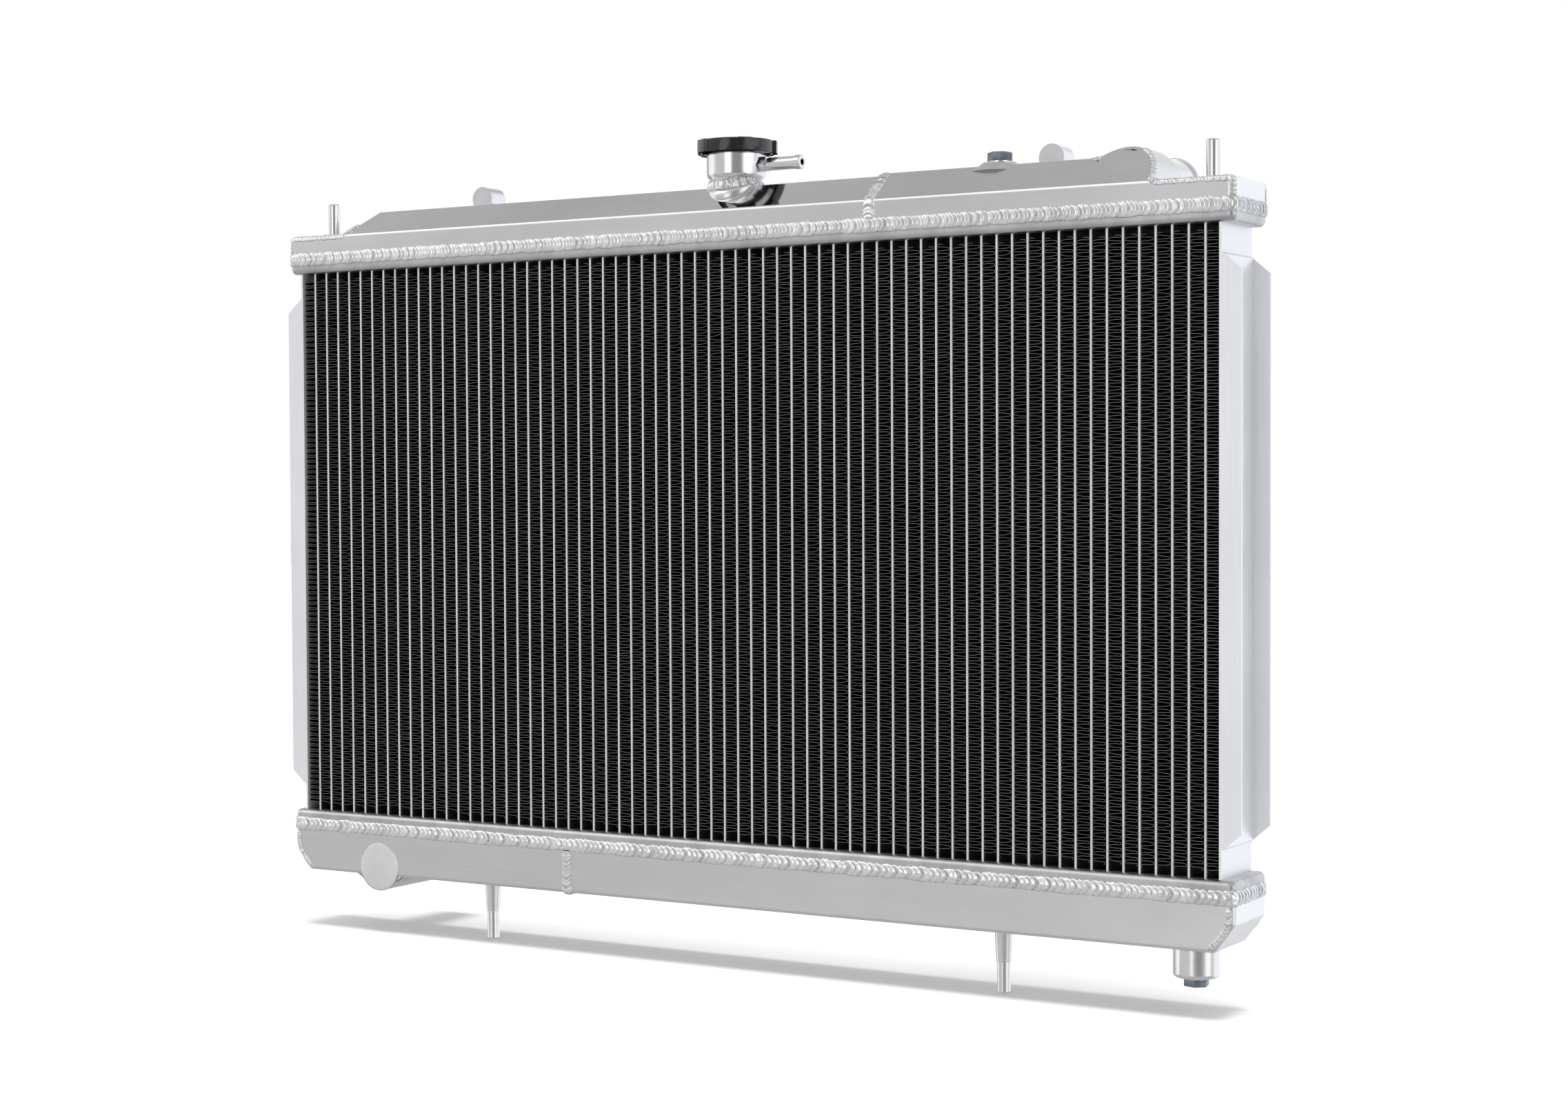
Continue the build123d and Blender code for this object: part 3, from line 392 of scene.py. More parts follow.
dress(["top_tank_left", "top_tank_right", "bottom_tank_left", "bottom_tank_right", "inlet_arch"], SHEET)
dress(["top_end_cap_left", "top_end_cap_right", "bottom_end_cap_left", "bottom_end_cap_right"], SIDE)
dress(["end_plate_left", "end_plate_right", "side_channel_left", "side_channel_right"], SIDE)
dress(["top_header_plate", "bottom_header_plate"], HEADER)
dress(["tube_row_front", "tube_row_rear"], TUBE)
dress(["filler_neck", "overflow_nipple", "upper_pins", "lower_pegs", "shroud_bosses"], TURNED)
dress(["bleed_boss", "drain_boss", "inlet_pipe"], TURNED)
dress(["outlet_pipe"], SHEET)
dress(["bleed_washer", "drain_washer"], TURNED)
dress(["bleed_plug", "drain_plug"], PLUG)
dress(["cap_shell"], CAP_BLACK)
dress(["cap_rivet", "cap_spring_guide", "cap_spring", "vacuum_spring", "pressure_valve"], STEEL)
dress(["cap_bayonet"], STEEL_DARK)
dress(["cap_top_seal", "pressure_seal"], RUBBER)
dress(["vacuum_valve"], BRASS)
dress(["bleed_weld"], WELD_SMOOTH)


# ---------------------------------------------------------------------------------------------
# Pieces whose sharp edges are broken, as moulding and machining leave them
# ---------------------------------------------------------------------------------------------
def eased(node, width, angle=35):
    """A copy of a CAD piece with its sharp edges rounded, shown in its place."""
    source = frame["nodes"][node]
    mesh = source.data.copy()
    piece = bpy.data.objects.new(f"{node}_eased", mesh)
    bpy.context.scene.collection.objects.link(piece)
    work = bmesh.new()
    work.from_mesh(mesh)
    bmesh.ops.remove_doubles(work, verts=work.verts, dist=1e-6)
    bmesh.ops.dissolve_limit(work, angle_limit=math.radians(1), verts=work.verts, edges=work.edges)
    work.to_mesh(mesh)
    work.free()
    for polygon in mesh.polygons:
        polygon.use_smooth = True
    bevel = piece.modifiers.new("eased", "BEVEL")
    bevel.width = width
    bevel.segments = 3
    bevel.limit_method = "ANGLE"
    bevel.angle_limit = math.radians(angle)
    bevel.harden_normals = True
    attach(piece, source["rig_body"])
    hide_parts(node)
    return piece


eased("cap_shell", 0.55 * MM)
eased("bleed_plug", 0.25 * MM)
eased("drain_plug", 0.25 * MM)


def spring(node):
    """A copy of a coil spring in its place, riding on the same body; the CAD node is hidden."""
    source = frame["nodes"][node]
    piece = bpy.data.objects.new(f"{node}_coil", source.data.copy())
    bpy.context.scene.collection.objects.link(piece)
    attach(piece, source["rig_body"])
    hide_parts(node)
    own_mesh(piece)


spring("cap_spring")
spring("vacuum_spring")


# ---------------------------------------------------------------------------------------------
# Fins: a serpentine of thin foil between each two tubes
# ---------------------------------------------------------------------------------------------
FIN_PERIOD = 3.6 * MM
FIN_FOIL = 0.15 * MM
FIN_HALF_WIDTH = (TUBE_PITCH - TUBE_WIDTH) / 2
FIN_TURN_STEPS = 4
FIN_GROUPS = 4


def serpentine(x_middle, z_from, z_to, rng):
    """The line of one foil strip: slightly slanting, bowed legs joined by round turns."""
    count = int((z_to - z_from) / (FIN_PERIOD / 2))
    rise = (z_to - z_from) / count
    turn = 0.4 * rise
    straight = FIN_HALF_WIDTH - turn - FIN_FOIL / 2
    phase = rng.choice((-1, 1))
    points = []
    drift = 0.0
    for leg in range(count):
        side = phase if leg % 2 else -phase
        drift = 0.6 * drift + rng.gauss(0, 0.08) * rise
        if rng.random() < 0.012:
            drift += rng.uniform(-0.3, 0.3) * rise
        z = z_from + rise * (leg + 0.5) + drift
        for step in range(FIN_TURN_STEPS + 1):
            angle = math.pi * step / FIN_TURN_STEPS
            across = straight + turn * math.sin(angle)
            points.append((x_middle + side * across, z - turn * math.cos(angle)))
        bow = side * phase * 0.09 * rise
        points.append((x_middle + side * 0.1 * straight, z + 0.5 * rise + bow))
    return points


def foil(points, half):
    """Both sides of the foil's line, half a thickness to each side."""
    left, right = [], []
    for index, (x, z) in enumerate(points):
        before = points[max(index - 1, 0)]
        after = points[min(index + 1, len(points) - 1)]
        dx, dz = after[0] - before[0], after[1] - before[1]
        size = math.hypot(dx, dz) or 1
        left.append((x - dz / size * half, z + dx / size * half))
        right.append((x + dz / size * half, z - dx / size * half))
    return left, right


def make_fins():
    rng = random.Random(7)
    columns = round((fins_high.x - fins_low.x + TUBE_WIDTH) / TUBE_PITCH)
    first = fins_low.x + FIN_HALF_WIDTH
    per_group = math.ceil(columns / FIN_GROUPS)
    for group in range(FIN_GROUPS):
        verts, faces, slots = [], [], []
        for column in range(group * per_group, min((group + 1) * per_group, columns)):
            margin = rng.uniform(-1.0, 1.0) * MM
            line = serpentine(
                first + column * TUBE_PITCH,
                fins_low.z + 1 * MM + margin,
                fins_high.z - 1 * MM + margin,
                rng,
            )
            left, right = foil(line, FIN_FOIL / 2)
            base = len(verts)
            for (lx, lz), (rx, rz) in zip(left, right):
                verts += [
                    (lx, fins_low.y, lz),
                    (rx, fins_low.y, rz),
                    (rx, fins_high.y, rz),
                    (lx, fins_high.y, lz),
                ]
            for index in range(len(line) - 1):
                a = base + 4 * index
                b = a + 4
                for k in range(4):
                    n = (k + 1) % 4
                    faces.append((a + k, a + n, b + n, b + k))
                    slots.append(1 if k in (0, 2) else 0)
            last = base + 4 * (len(line) - 1)
            faces += [(base + 3, base + 2, base + 1, base), (last, last + 1, last + 2, last + 3)]
            slots += [0, 0]
        fins = new_piece(f"fin_foil_{group}", verts, faces, [BLACK_FIN, EDGE], "radiator", False, slots)
        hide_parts("core_fins")


make_fins()


# ---------------------------------------------------------------------------------------------
# Weld beads: overlapping crescents swept along a path
# ---------------------------------------------------------------------------------------------
def at(x, y, z):
    """A point given in millimetres."""
    return Vector((x, y, z)) * MM


class Track:
    """A path with outward normals, measured by length."""

    def __init__(self, points, normals, closed=False):
        self.points = [Vector(p) for p in points]
        self.normals = [Vector(n).normalized() for n in normals]
        if closed:
            self.points.append(self.points[0].copy())
            self.normals.append(self.normals[0].copy())
        self.closed = closed
        self.lengths = [0.0]
        for a, b in zip(self.points, self.points[1:]):
            self.lengths.append(self.lengths[-1] + (b - a).length)
        self.total = self.lengths[-1]

    def spot(self, s):
        """The point and the normal at length s."""
        s = s % self.total if self.closed else min(max(s, 0.0), self.total)
        index = max(0, min(bisect.bisect_right(self.lengths, s) - 1, len(self.points) - 2))
        span = self.lengths[index + 1] - self.lengths[index] or 1
        t = (s - self.lengths[index]) / span
        point = self.points[index].lerp(self.points[index + 1], t)
        return point, self.normals[index].lerp(self.normals[index + 1], t).normalized()

    def heading(self, s):
        """The direction of travel at length s, smoothed a little."""
        reach = 0.8 * MM
        ahead, behind = self.spot(s + reach)[0], self.spot(s - reach)[0]
        return (ahead - behind).normalized()


def bead(name, track, width, height, ripple, replaces=(), bow=None, seed=1, taper=0.0, sink=0.3 * MM):
    """A rippled bead along a track.

    Each ripple is a crescent that bows along the path, lies over the one before it and is proud at its
    leading edge. taper narrows the bead towards an open end over that length.
    """
    rng = random.Random(seed)
    across = 14
    per_ripple = 8
    bow = 0.3 * width if bow is None else bow
    count = max(3, round(track.total / ripple))
    stations = count * per_ripple
    heights = [rng.uniform(0.68, 1.0) for _ in range(count)]
    widths = [rng.uniform(0.86, 1.08) for _ in range(count)]
    shifts = [rng.uniform(-0.26, 0.26) for _ in range(count)]
    rings = stations if track.closed else stations + 1
    verts, faces, grooves = [], [], []
    for station in range(rings):
        s = track.total * station / stations
        point, normal = track.spot(s)
        side = track.heading(s).cross(normal).normalized()
        ends = 1.0
        if taper and not track.closed:
            near = min(s, track.total - s) / taper
            ends = math.sqrt(max(0.02, 1 - max(0.0, 1 - near) ** 2))
        for k in range(across + 1):
            u = -1 + 2 * k / across
            position = (s - bow * (1 - u * u)) / track.total * count
            position += shifts[math.floor(position) % count]
            index = math.floor(position) % count
            phase = position - math.floor(position)
            crest = 0.5 + 0.5 * math.sin(math.pi * min(1.0, 0.16 + 0.84 * phase) ** 0.75)
            # painted shade: how dark each point is drawn in the ripple grooves, strongest along the bead's
            # middle
            grooves.append(max(0.0, 1 - 4.5 * min(phase, 1 - phase)) * (0.45 + 0.55 * (1 - u * u)))
            near_end = widths[index] * (1 - phase) + widths[(index + 1) % count] * phase
            half = width / 2 * near_end * (0.92 + 0.08 * math.sin(math.pi * phase)) * ends
            profile = math.sqrt(max(0.0, 1 - abs(u) ** 2.5))
            lift = height * profile * crest * heights[index] * ends
            lift += height * 0.1 * profile * noise.noise(Vector((s * 350, u * 2, seed)))
            low = -sink if k in (0, across) else 0.0
            verts.append(point + side * (u * half) + normal * (lift + low))
    row = across + 1
    for station in range(rings if track.closed else rings - 1):
        a = station * row
        b = ((station + 1) % rings) * row
        for k in range(across):
            faces.append((a + k, a + k + 1, b + k + 1, b + k))
        faces.append((a, b, b + across, a + across))
    if not track.closed:
        faces.append(tuple(range(row)))
        faces.append(tuple(reversed(range((rings - 1) * row, rings * row))))
    piece = new_piece(name, verts, faces, WELD, "radiator")
    shade = piece.data.attributes.new("groove", "FLOAT", "POINT")
    shade.data.foreach_set("value", grooves)
    if replaces:
        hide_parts(*replaces)
    return piece


def lumps(name, spots, replaces=(), seed=1):
    """Smooth frozen drops of weld metal: spots are (centre, half sizes along x, y and z) in millimetres."""
    verts, faces = [], []
    around, up = 24, 14
    for number, (centre, size) in enumerate(spots):
        base = len(verts)
        for i in range(up + 1):
            polar = math.pi * i / up
            for j in range(around):
                angle = 2 * math.pi * j / around
                out = Vector(
                    (math.sin(polar) * math.cos(angle), math.sin(polar) * math.sin(angle), math.cos(polar))
                )
                wave = 1 - 0.14 * abs(noise.noise(out * 1.6 + Vector((number * 3.1, seed, 0))))
                verts.append(at(*(c + h * o * wave for c, h, o in zip(centre, size, out))))
        for i in range(up):
            for j in range(around):
                n = (j + 1) % around
                a, b = base + i * around, base + (i + 1) * around
                faces.append((a + j, b + j, b + n, a + n))
    piece = new_piece(name, verts, faces, WELD, "radiator")
    if replaces:
        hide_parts(*replaces)
    return piece


def ring_track(centre, radius, axis="z", tilt=45, steps=48):
    """A closed circle; tilt turns its normals from outwards towards the axis's positive side."""
    points, normals = [], []
    for step in range(steps):
        angle = 2 * math.pi * step / steps
        c, s = math.cos(angle), math.sin(angle)
        out = Vector((c, s, 0)) if axis == "z" else Vector((s, 0, c))
        along = Vector((0, 0, 1)) if axis == "z" else Vector((0, 1, 0))
        points.append(Vector(centre) + out * radius)
        normals.append(out * math.cos(math.radians(tilt)) + along * math.sin(math.radians(tilt)))
    return Track(points, normals, closed=True)


def around_tank(z):
    """A closed track round a tank at one height."""
    points, normals = [], []
    for sx, sy, start in ((1, -1, -90), (1, 1, 0), (-1, 1, 90), (-1, -1, 180)):
        centre = Vector((sx * (TANK_HALF - CORNER), TANK_MIDDLE + sy * (TANK_HALF_DEPTH - CORNER), z))
        for step in range(7):
            angle = math.radians(start + 90 * step / 6)
            out = Vector((math.cos(angle), math.sin(angle), 0))
            points.append(centre + CORNER * out)
            normals.append(out)
    return Track(points, normals, closed=True)


def facet_spot(z):
    """How far back the sloping facet lies at height z, in millimetres."""
    return FRONT + (z - SHELF) / math.tan(FACET_SLOPE)


TANK_HALF_DEPTH = (TANK_BACK - TANK_FRONT) / 2
FRONT, BACK, HALF = TANK_FRONT / MM, TANK_BACK / MM, TANK_HALF / MM
SHELF = SHELF_Z / MM
UNDER = BOTTOM_Z / MM
FACET_OUT = Vector((0, -math.sin(FACET_SLOPE), math.cos(FACET_SLOPE)))
seam_low, seam_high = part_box("top_seam_weld")
TOP_SEAM = (seam_low.x + seam_high.x) / 2 / MM
low_seam_low, low_seam_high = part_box("bottom_seam_weld")
LOW_SEAM = (low_seam_low.x + low_seam_high.x) / 2 / MM
arch_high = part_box("inlet_arch")[1]
ARCH_RIGHT, ARCH_TOP = arch_high.x / MM, arch_high.z / MM
ARCH_R = 24.6
ARCH_CENTRE_X, ARCH_CENTRE_Z = ARCH_RIGHT - ARCH_R, ARCH_TOP - ARCH_R
ROOF_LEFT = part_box("top_tank_left")[1].z / MM
RAISED_LEFT = -(arch_high.x / MM + 2.4)

for where, ripple, bow, seed in (("top", 2.5, 3.8, 3), ("bottom", 4.2, 4.6, 5)):
    low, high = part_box(f"{where}_header_weld")
    bead(
        f"{where}_header_bead",
        around_tank((low.z + high.z) / 2),
        high.z - low.z - 0.6 * MM,
        1.7 * MM,
        ripple * MM,
        [f"{where}_header_weld"],
        bow * MM,
        seed,
    )

# The seam across the top tank: up the front, over the facet and the roof, and down the back
roof = (ROOF_LEFT + 2.0 + ROOF_LEFT) / 2
roof_front = facet_spot(roof)
seam_points = [
    at(TOP_SEAM, FRONT, SHELF - 11),
    at(TOP_SEAM, FRONT, SHELF - 1.6),
    at(TOP_SEAM, facet_spot(SHELF + 1.1), SHELF + 1.1),
    at(TOP_SEAM, facet_spot(roof - 1.4), roof - 1.4),
    at(TOP_SEAM, roof_front + 1.8, roof),
    at(TOP_SEAM, BACK - 2.4, roof),
    at(TOP_SEAM, BACK, roof - 2.4),
    at(TOP_SEAM, BACK, SHELF - 11),
]
seam_normals = [
    (0, -1, 0),
    (0, -1, 0.15),
    FACET_OUT,
    FACET_OUT,
    (0, -0.2, 1),
    (0, 0.2, 1),
    (0, 1, 0.2),
    (0, 1, 0),
]
bead(
    "top_seam_bead",
    Track(seam_points, seam_normals),
    8.2 * MM,
    1.5 * MM,
    2.6 * MM,
    ["top_seam_weld"],
    2.2 * MM,
    11,
    sink=1.6 * MM,
)

# The seam across the bottom tank
bead(
    "bottom_seam_bead",
    Track(
        [
            at(LOW_SEAM, FRONT, UNDER + 27.5),
            at(LOW_SEAM, FRONT, UNDER + 2.2),
            at(LOW_SEAM, FRONT + 2.2, UNDER),
            at(LOW_SEAM, BACK - 2.2, UNDER),
            at(LOW_SEAM, BACK, UNDER + 2.2),
            at(LOW_SEAM, BACK, UNDER + 27.5),
        ],
        [(0, -1, 0), (0, -1, -0.4), (0, -0.4, -1), (0, 0.4, -1), (0, 1, -0.4), (0, 1, 0)],
    ),
    7.6 * MM,
    1.5 * MM,
    2.7 * MM,
    ["bottom_seam_weld"],
    2.0 * MM,
    12,
)

# The end caps of the top tank: along each shelf's front edge and up to the raised part
edge_out = (0, -0.8, 0.6)
arch_path, arch_out = [], []
for step in range(11):
    angle = math.radians(66 - 62 * step / 10)
    z = ARCH_CENTRE_Z + (ARCH_R - 0.3) * math.sin(angle)
    arch_path.append(at(ARCH_CENTRE_X + (ARCH_R - 0.3) * math.cos(angle), facet_spot(z) + 0.3, z))
    arch_out.append(FACET_OUT * 0.7 + Vector((math.cos(angle), 0, math.sin(angle))) * 0.7)
shelf_right = [at(x, FRONT + 1.1, SHELF - 0.9) for x in (ARCH_RIGHT + 3, 310, 330, HALF - 3)]
bead(
    "right_shelf_bead",
    Track(arch_path + shelf_right, arch_out + [edge_out] * len(shelf_right)),
    4.4 * MM,
    1.5 * MM,
    1.9 * MM,
    seed=21,
    taper=2 * MM,
)
shelf_left = [at(x, FRONT + 1.1, SHELF - 0.9) for x in (3 - HALF, -330, -312, RAISED_LEFT - 2)]
slope_left = [at(RAISED_LEFT + t, facet_spot(SHELF + t) + 0.4, SHELF + t) for t in (1.5, 4, 7)]
slope_out = FACET_OUT * 0.7 + Vector((-0.5, 0, 0.5))
bead(
    "left_shelf_bead",
    Track(shelf_left + slope_left, [edge_out] * len(shelf_left) + [slope_out] * len(slope_left)),
    4.6 * MM,
    1.5 * MM,
    2.0 * MM,
    seed=22,
    taper=3 * MM,
)

# Upright beads on the corners of both tanks, and round the sloping ends of the bottom tank
for side, side_name in ((1, "right"), (-1, "left")):
    for front, y, face_name in ((-1, FRONT, "front"), (1, BACK, "back")):
        corner_x = side * (HALF - 1.15)
        corner_y = y - front * 1.15
        out = (0.7 * side, 0.7 * front, 0)
        bead(
            f"top_corner_bead_{face_name}_{side_name}",
            Track([at(corner_x, corner_y, SHELF - 0.6), at(corner_x, corner_y, SHELF - 11)], [out, out]),
            4.2 * MM,
            1.1 * MM,
            2.2 * MM,
            seed=30 + side + front,
            taper=1.5 * MM,
        )
        outline = [(HALF - 3.6, UNDER + 26), (HALF - 3.6, UNDER + 18.5), (HALF - 5.2, UNDER + 13.5)]
        outline += [(HALF - 9.5, UNDER + 7.8), (HALF - 15.5, UNDER + 1.6)]
        bead(
            f"bottom_end_bead_{face_name}_{side_name}",
            Track([at(side * x, y, z) for x, z in outline], [(0, front, 0)] * len(outline)),
            4.2 * MM,
            1.3 * MM,
            2.2 * MM,
            seed=40 + side + front,
            taper=3 * MM,
        )

# Across the roof beside the inlet's hump, and where the hump meets the right shelf
hump_left = ARCH_CENTRE_X - 16.2
bead(
    "hump_left_bead",
    Track(
        [
            at(hump_left - 3, facet_spot(ROOF_LEFT) - 1.0, ROOF_LEFT + 0.4),
            at(hump_left, facet_spot(ROOF_LEFT + 1.8) + 2, ROOF_LEFT + 2.0),
            at(hump_left, BACK - 1, ROOF_LEFT + 2.0),
        ],
        [FACET_OUT, (-0.3, -0.1, 1), (-0.3, 0, 1)],
    ),
    5.5 * MM,
    1.3 * MM,
    2.4 * MM,
    seed=51,
    taper=2 * MM,
)
bead(
    "hump_right_bead",
    Track(
        [at(ARCH_RIGHT + 0.8, FRONT + 1.5, SHELF + 0.5), at(ARCH_RIGHT + 0.8, BACK - 1, SHELF + 0.5)],
        [(0.7, 0, 0.7)] * 2,
    ),
    5.0 * MM,
    1.2 * MM,
    2.2 * MM,
    seed=52,
    taper=2 * MM,
)

# Fittings: a rippled ring at the foot of each
drain_low, drain_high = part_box("drain_boss")
drain_x, drain_y = (drain_low.x + drain_high.x) / 2, (drain_low.y + drain_high.y) / 2
bead(
    "drain_bead",
    ring_track((drain_x, drain_y, BOTTOM_Z), (drain_high.x - drain_low.x) / 2, tilt=-45),
    6.0 * MM,
    1.5 * MM,
    3.4 * MM,
    ["drain_weld"],
    seed=61,
)
peg_low, peg_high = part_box("lower_pegs")
peg_y = (peg_low.y + peg_high.y) / 2
weld_low, weld_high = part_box("peg_welds")
for side, side_name in ((-1, "left"), (1, "right")):
    peg_x = side * (weld_high.x - (weld_high.y - weld_low.y) / 2)
    bead(
        f"peg_bead_{side_name}",
        ring_track((peg_x, peg_y, BOTTOM_Z), 7.4 * MM, tilt=-60),
        5.4 * MM,
        1.1 * MM,
        2.6 * MM,
        ["peg_welds"],
        seed=63 + side,
    )
    pin_x = side * 322.5 * MM
    bead(
        f"pin_bead_{side_name}",
        ring_track((pin_x, (pins_low.y + pins_high.y) / 2, SHELF_Z), 7.2 * MM, tilt=60),
        6.0 * MM,
        1.3 * MM,
        2.6 * MM,
        seed=66 + side,
    )

# The outlet pipe in the floor of the bottom tank
disc_low, disc_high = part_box("outlet_pipe_disc")
pipe_x = (disc_low.x + disc_high.x) / 2 / MM
pipe_z = (disc_low.z + disc_high.z) / 2 / MM
for side, side_name in ((-1, "left"), (1, "right")):
    reach = math.sqrt(16.0**2 - (pipe_z - UNDER) ** 2) + 1.2
    foot = at(pipe_x + side * reach, 0, UNDER - 0.2)
    bead(
        f"outlet_bead_{side_name}",
        Track(
            [foot + at(0, FRONT + 0.8, 0), foot + at(0, BACK - 0.8, 0)],
            [(0.55 * side, 0, -0.83), (0.55 * side, 0, -0.83)],
        ),
        11.0 * MM,
        2.6 * MM,
        3.4 * MM,
        seed=71 + side,
        sink=1.5 * MM,
    )


def outlet_front():
    """The disc that closes the outlet pipe, ground over after welding so its rim melts into the wall."""
    around, rings = 96, 12
    verts, faces = [at(pipe_x, FRONT - 0.9, pipe_z)], []
    for ring in range(1, rings + 1):
        t = ring / rings
        for j in range(around):
            angle = 2 * math.pi * j / around
            c, s = math.cos(angle), math.sin(angle)
            wobble = 1 + 0.035 * noise.noise(Vector((c * 1.5, s * 1.5, 2.0)))
            r = 17.0 * t * wobble * (1.0 if s > -0.2 else 1.0 - 0.045 * (-s - 0.2))
            proud = 0.9 * (1 - t**2.5) - 0.25 * t**8
            verts.append(at(pipe_x + r * c, FRONT - proud, pipe_z + r * s))
    for j in range(around):
        n = (j + 1) % around
        faces.append((0, 1 + n, 1 + j))
        for ring in range(rings - 1):
            a, b = 1 + ring * around, 1 + (ring + 1) * around
            faces.append((a + j, a + n, b + n, b + j))
    last = 1 + (rings - 1) * around
    back = len(verts)
    verts.append(at(pipe_x, FRONT + 2.0, pipe_z))
    for j in range(around):
        faces.append((back, last + j, last + (j + 1) % around))
    piece = new_piece("outlet_disc_ground", verts, faces, GROUND, "radiator")
    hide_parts("outlet_pipe_disc")


outlet_front()

# The shroud bosses' feet
boss_low, boss_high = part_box("shroud_bosses")
boss_r = (boss_high.z - boss_low.z) / 2 / MM
boss_x = boss_high.x / MM - boss_r
boss_spots = []
for side in (-1, 1):
    roof_here = ROOF_LEFT + (1.8 if side > 0 else 0)
    for offset, size in (
        (-0.93, (3.8, 6.0, 3.0)),
        (-0.4, (4.4, 4.2, 2.6)),
        (0.35, (4.2, 4.0, 2.4)),
        (0.95, (3.8, 5.6, 3.2)),
    ):
        y = boss_low.y / MM + (0.4 if abs(offset) < 0.6 else 3.6)
        boss_spots.append(((side * boss_x + offset * boss_r, y, roof_here + 0.3), size))
lumps("boss_foot_welds", boss_spots, seed=8)

# Drops where beads meet at the corners
corner_spots = []
for side in (-1, 1):
    for y, front in ((FRONT, -1), (BACK, 1)):
        corner_spots.append(((side * (HALF - 5.5), y - front * 3.2, SHELF - 13.6), (5.6, 4.8, 4.6)))
        corner_spots.append(((side * (HALF - 6.0), y - front * 3.2, UNDER + 30.6), (6.4, 4.8, 4.8)))
        corner_spots.append(((side * (HALF - 2.9), y - front * 2.9, SHELF - 2.0), (3.4, 3.4, 2.9)))
lumps("corner_drops", corner_spots, seed=4)


# ---------------------------------------------------------------------------------------------
# The filler neck's foot: a broad weld that runs down over the facet
# ---------------------------------------------------------------------------------------------
def neck_foot():
    """A smooth saddle under the neck; a rippled collar goes over it."""
    centre_x, centre_y = NECK.x / MM, NECK.y / MM
    around, up = 180, 14
    towards = math.radians(-62)
    verts, faces = [], []
    for j in range(around):
        angle = 2 * math.pi * j / around
        c, s = math.cos(angle), math.sin(angle)
        front = max(0.0, math.cos(angle - towards)) ** 1.5
        reach = 17.4 + 4.8 * front
        foot_y = centre_y + reach * s
        foot_z = min(ROOF_LEFT - 0.3, SHELF + (foot_y - FRONT) * math.tan(FACET_SLOPE))
        top_r, top_z = 17.0, NECK_FOOT_Z - 4.6
        lean = math.atan2(reach - top_r, top_z - foot_z)
        for i in range(up + 1):
            t = i / up
            fat = (0.4 + 2.2 * front) * math.sin(math.pi * t) ** 0.9
            fat *= 1 + 0.12 * noise.noise(Vector((c * 2.2, s * 2.2, t * 1.5)))
            r = top_r + (reach - top_r) * t + fat * math.cos(lean)
            z = top_z + (foot_z - top_z) * t + fat * math.sin(lean)
            verts.append(at(centre_x + r * c, centre_y + r * s, z))
        verts.append(at(centre_x + (reach - 3) * c, centre_y + (reach - 3) * s, foot_z - 1.5))
    row = up + 2
    for j in range(around):
        a, b = j * row, ((j + 1) % around) * row
        for i in range(row - 1):
            faces.append((a + i, a + i + 1, b + i + 1, b + i))
        faces.append((a + row - 1, a, b, b + row - 1))
    piece = new_piece("neck_foot_weld", verts, faces, WELD_SMOOTH, "radiator")
    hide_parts("neck_weld")


neck_foot()
bead(
    "neck_collar_bead",
    ring_track((NECK.x, NECK.y, (NECK_FOOT_Z - 3.4) * MM), 16.4 * MM, tilt=14, steps=72),
    8.4 * MM,
    2.4 * MM,
    2.7 * MM,
    bow=2.2 * MM,
    seed=81,
)


# ---------------------------------------------------------------------------------------------
# Floor, light and camera
# ---------------------------------------------------------------------------------------------
def floor():
    size = 6.0
    verts = [(-size, -size, FLOOR_Z), (size, -size, FLOOR_Z), (size, size, FLOOR_Z), (-size, size, FLOOR_Z)]
    mesh = bpy.data.meshes.new("floor")
    mesh.from_pydata(verts, [], [(0, 1, 2, 3)])
    plane = bpy.data.objects.new("floor", mesh)
    bpy.context.scene.collection.objects.link(plane)
    m = Nodes("floor_white")
    haze = m.noise(1.5, 2.0)
    m.link(m.ramp(haze, [(0.3, (0.93,) * 3), (0.7, (0.95,) * 3)]), m.shader.inputs["Base Color"])
    m.shader.inputs["Roughness"].default_value = 0.9
    m.shader.inputs["Specular IOR Level"].default_value = 0.1
    mesh.materials.append(m.material)
    plane.visible_glossy = False


def overhead_sun():
    """A very soft light from above and a little in front, which metal doesn't mirror."""
    data = bpy.data.lights.new("overhead", "SUN")
    data.energy = 2.9
    data.angle = math.radians(28)
    light = bpy.data.objects.new("overhead", data)
    light.rotation_euler = (math.radians(3.5), math.radians(4.5), 0)
    light.visible_glossy = False
    bpy.context.scene.collection.objects.link(light)


# What polished metal reflects: direction, where the patch starts and is full (cosines), its colour
STUDIO_PATCHES = (
    ((-0.53, 0.12, 0.83), 0.70, 0.96, (0.50, 0.50, 0.505)),
    ((-0.60, -0.64, 0.48), 0.84, 0.95, (1.6, 1.6, 1.6)),
    ((-0.56, -0.83, -0.02), 0.78, 0.96, (0.62, 0.62, 0.625)),
    ((-0.02, -1.0, 0.05), 0.955, 0.985, (1.35, 1.35, 1.35)),
    ((0.56, -0.83, 0.05), 0.90, 0.98, (0.30, 0.30, 0.305)),
    ((0.98, -0.15, 0.15), 0.86, 0.96, (1.25, 1.25, 1.25)),
    ((0.53, 0.84, 0.0), 0.66, 0.93, (1.0, 1.03, 1.09)),
    ((-0.98, -0.10, 0.05), 0.90, 0.97, (1.1, 1.1, 1.1)),
    ((-0.30, 0.95, 0.10), 0.85, 0.97, (1.0, 1.0, 1.0)),
    ((-0.665, 0.02, 0.757), 0.9988, 0.9996, (0.24, 0.29, 0.46)),
    ((-0.615, 0.045, 0.787), 0.9992, 0.9997, (0.20, 0.24, 0.38)),
)


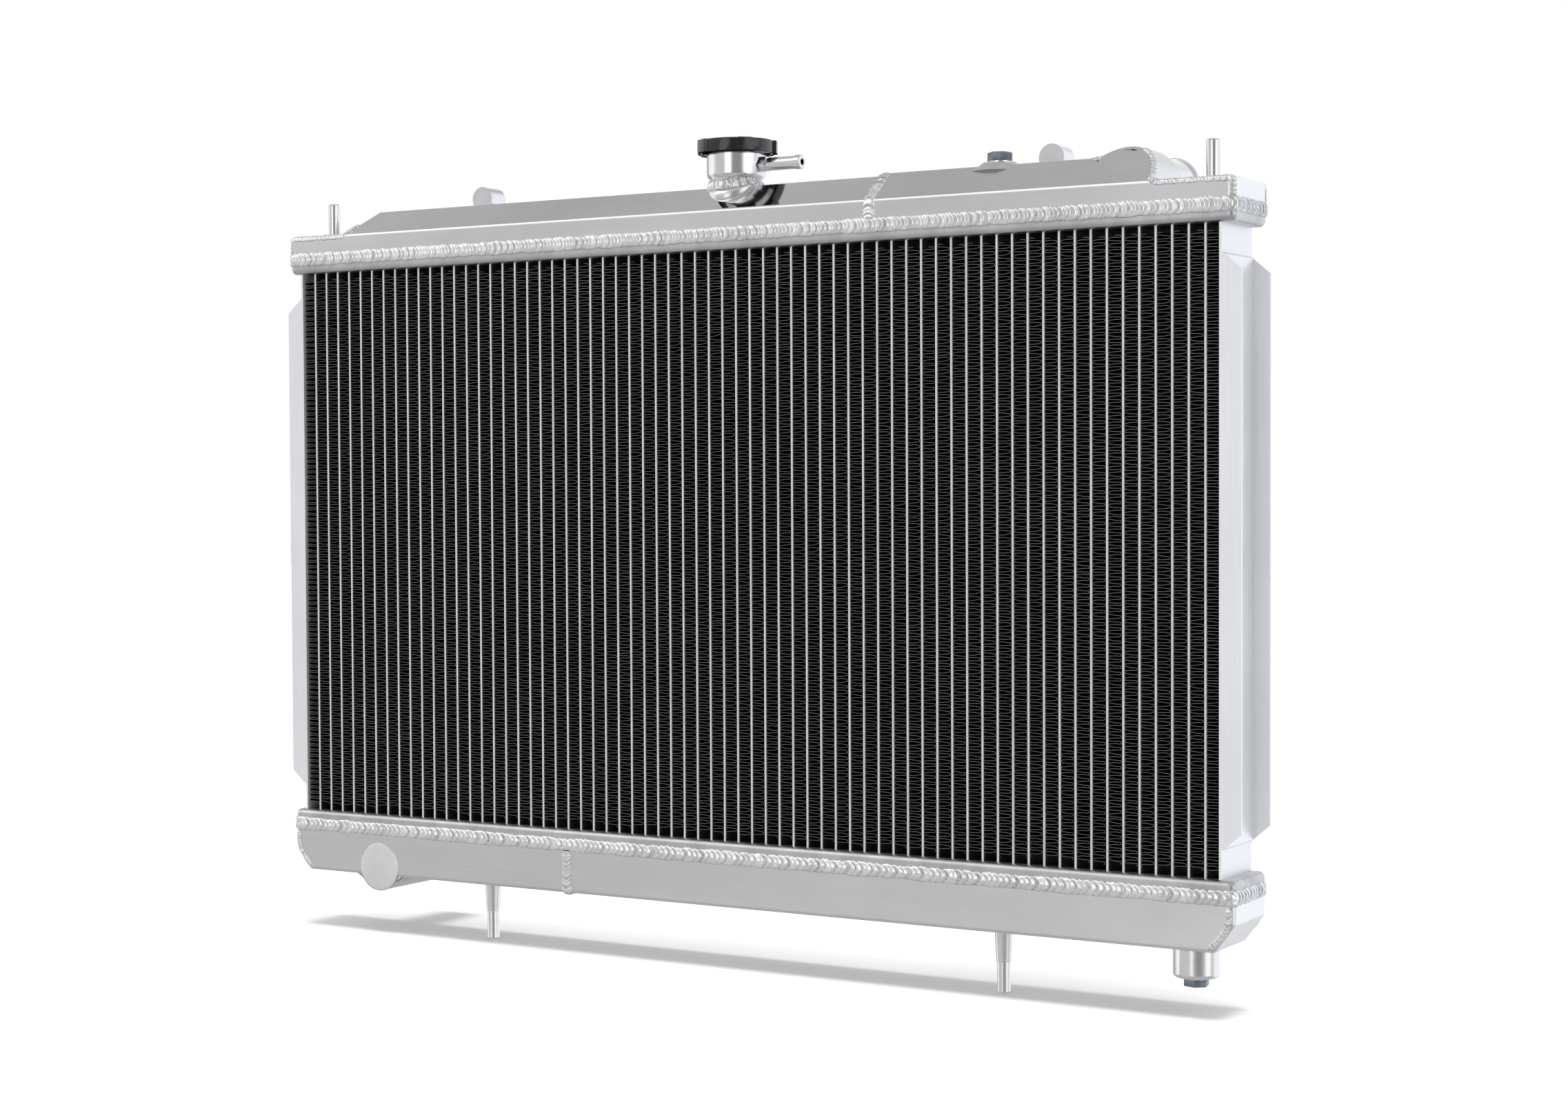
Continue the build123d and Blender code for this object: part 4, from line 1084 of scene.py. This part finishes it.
def studio():
    """White all round for the eye and for matt surfaces; grey walls and soft boxes in reflections."""
    world = bpy.data.worlds.new("studio")
    world.use_nodes = True
    tree = world.node_tree
    background = tree.nodes["Background"]
    coordinates = tree.nodes.new("ShaderNodeTexCoord")
    split = tree.nodes.new("ShaderNodeSeparateXYZ")
    tree.links.new(coordinates.outputs["Generated"], split.inputs["Vector"])
    height = tree.nodes.new("ShaderNodeMapRange")
    height.inputs["From Min"].default_value = -0.2
    height.inputs["From Max"].default_value = 1.0
    tree.links.new(split.outputs["Z"], height.inputs["Value"])
    walls = tree.nodes.new("ShaderNodeValToRGB")
    elements = walls.color_ramp.elements
    elements.new(0.3)
    for element, (position, grey) in zip(elements, ((0.0, 0.50), (0.3, 0.48), (1.0, 0.62))):
        element.position = position
        element.color = (grey, grey, grey * 1.015, 1)
    tree.links.new(height.outputs["Result"], walls.inputs["Fac"])
    colour = walls.outputs["Color"]
    for direction, start, full, patch in STUDIO_PATCHES:
        dot = tree.nodes.new("ShaderNodeVectorMath")
        dot.operation = "DOT_PRODUCT"
        dot.inputs[1].default_value = Vector(direction).normalized()
        tree.links.new(coordinates.outputs["Generated"], dot.inputs[0])
        edge = tree.nodes.new("ShaderNodeMapRange")
        edge.interpolation_type = "SMOOTHSTEP"
        edge.inputs["From Min"].default_value = start
        edge.inputs["From Max"].default_value = full
        tree.links.new(dot.outputs["Value"], edge.inputs["Value"])
        mix = tree.nodes.new("ShaderNodeMix")
        mix.data_type = "RGBA"
        mix.inputs[7].default_value = (*patch, 1)
        tree.links.new(edge.outputs["Result"], mix.inputs["Factor"])
        tree.links.new(colour, mix.inputs[6])
        colour = mix.outputs[2]
    rays = tree.nodes.new("ShaderNodeLightPath")
    seen = tree.nodes.new("ShaderNodeMix")
    seen.data_type = "RGBA"
    seen.inputs[6].default_value = (1, 1, 1, 1)
    eye = tree.nodes.new("ShaderNodeMix")
    eye.data_type = "RGBA"
    eye.inputs[6].default_value = (0.8, 0.8, 0.81, 1)
    eye.inputs[7].default_value = (1, 1, 1, 1)
    tree.links.new(rays.outputs["Is Camera Ray"], eye.inputs["Factor"])
    tree.links.new(eye.outputs[2], seen.inputs[6])
    tree.links.new(rays.outputs["Is Glossy Ray"], seen.inputs["Factor"])
    tree.links.new(colour, seen.inputs[7])
    tree.links.new(seen.outputs[2], background.inputs["Color"])
    background.inputs["Strength"].default_value = 1.0
    bpy.context.scene.world = world
    bpy.context.scene.view_settings.view_transform = "Standard"
    overhead_sun()


def camera():
    data = bpy.data.cameras.new("camera")
    data.lens = 60.95
    data.sensor_width = 36.0
    data.clip_end = 50
    viewer = bpy.data.objects.new("camera", data)
    viewer.location = (0.89147, -1.41302, 0.28657)
    viewer.rotation_euler = tuple(math.radians(a) for a in (88.285, 0.263, 31.113))
    bpy.context.scene.collection.objects.link(viewer)
    bpy.context.scene.camera = viewer


floor()
studio()
camera()
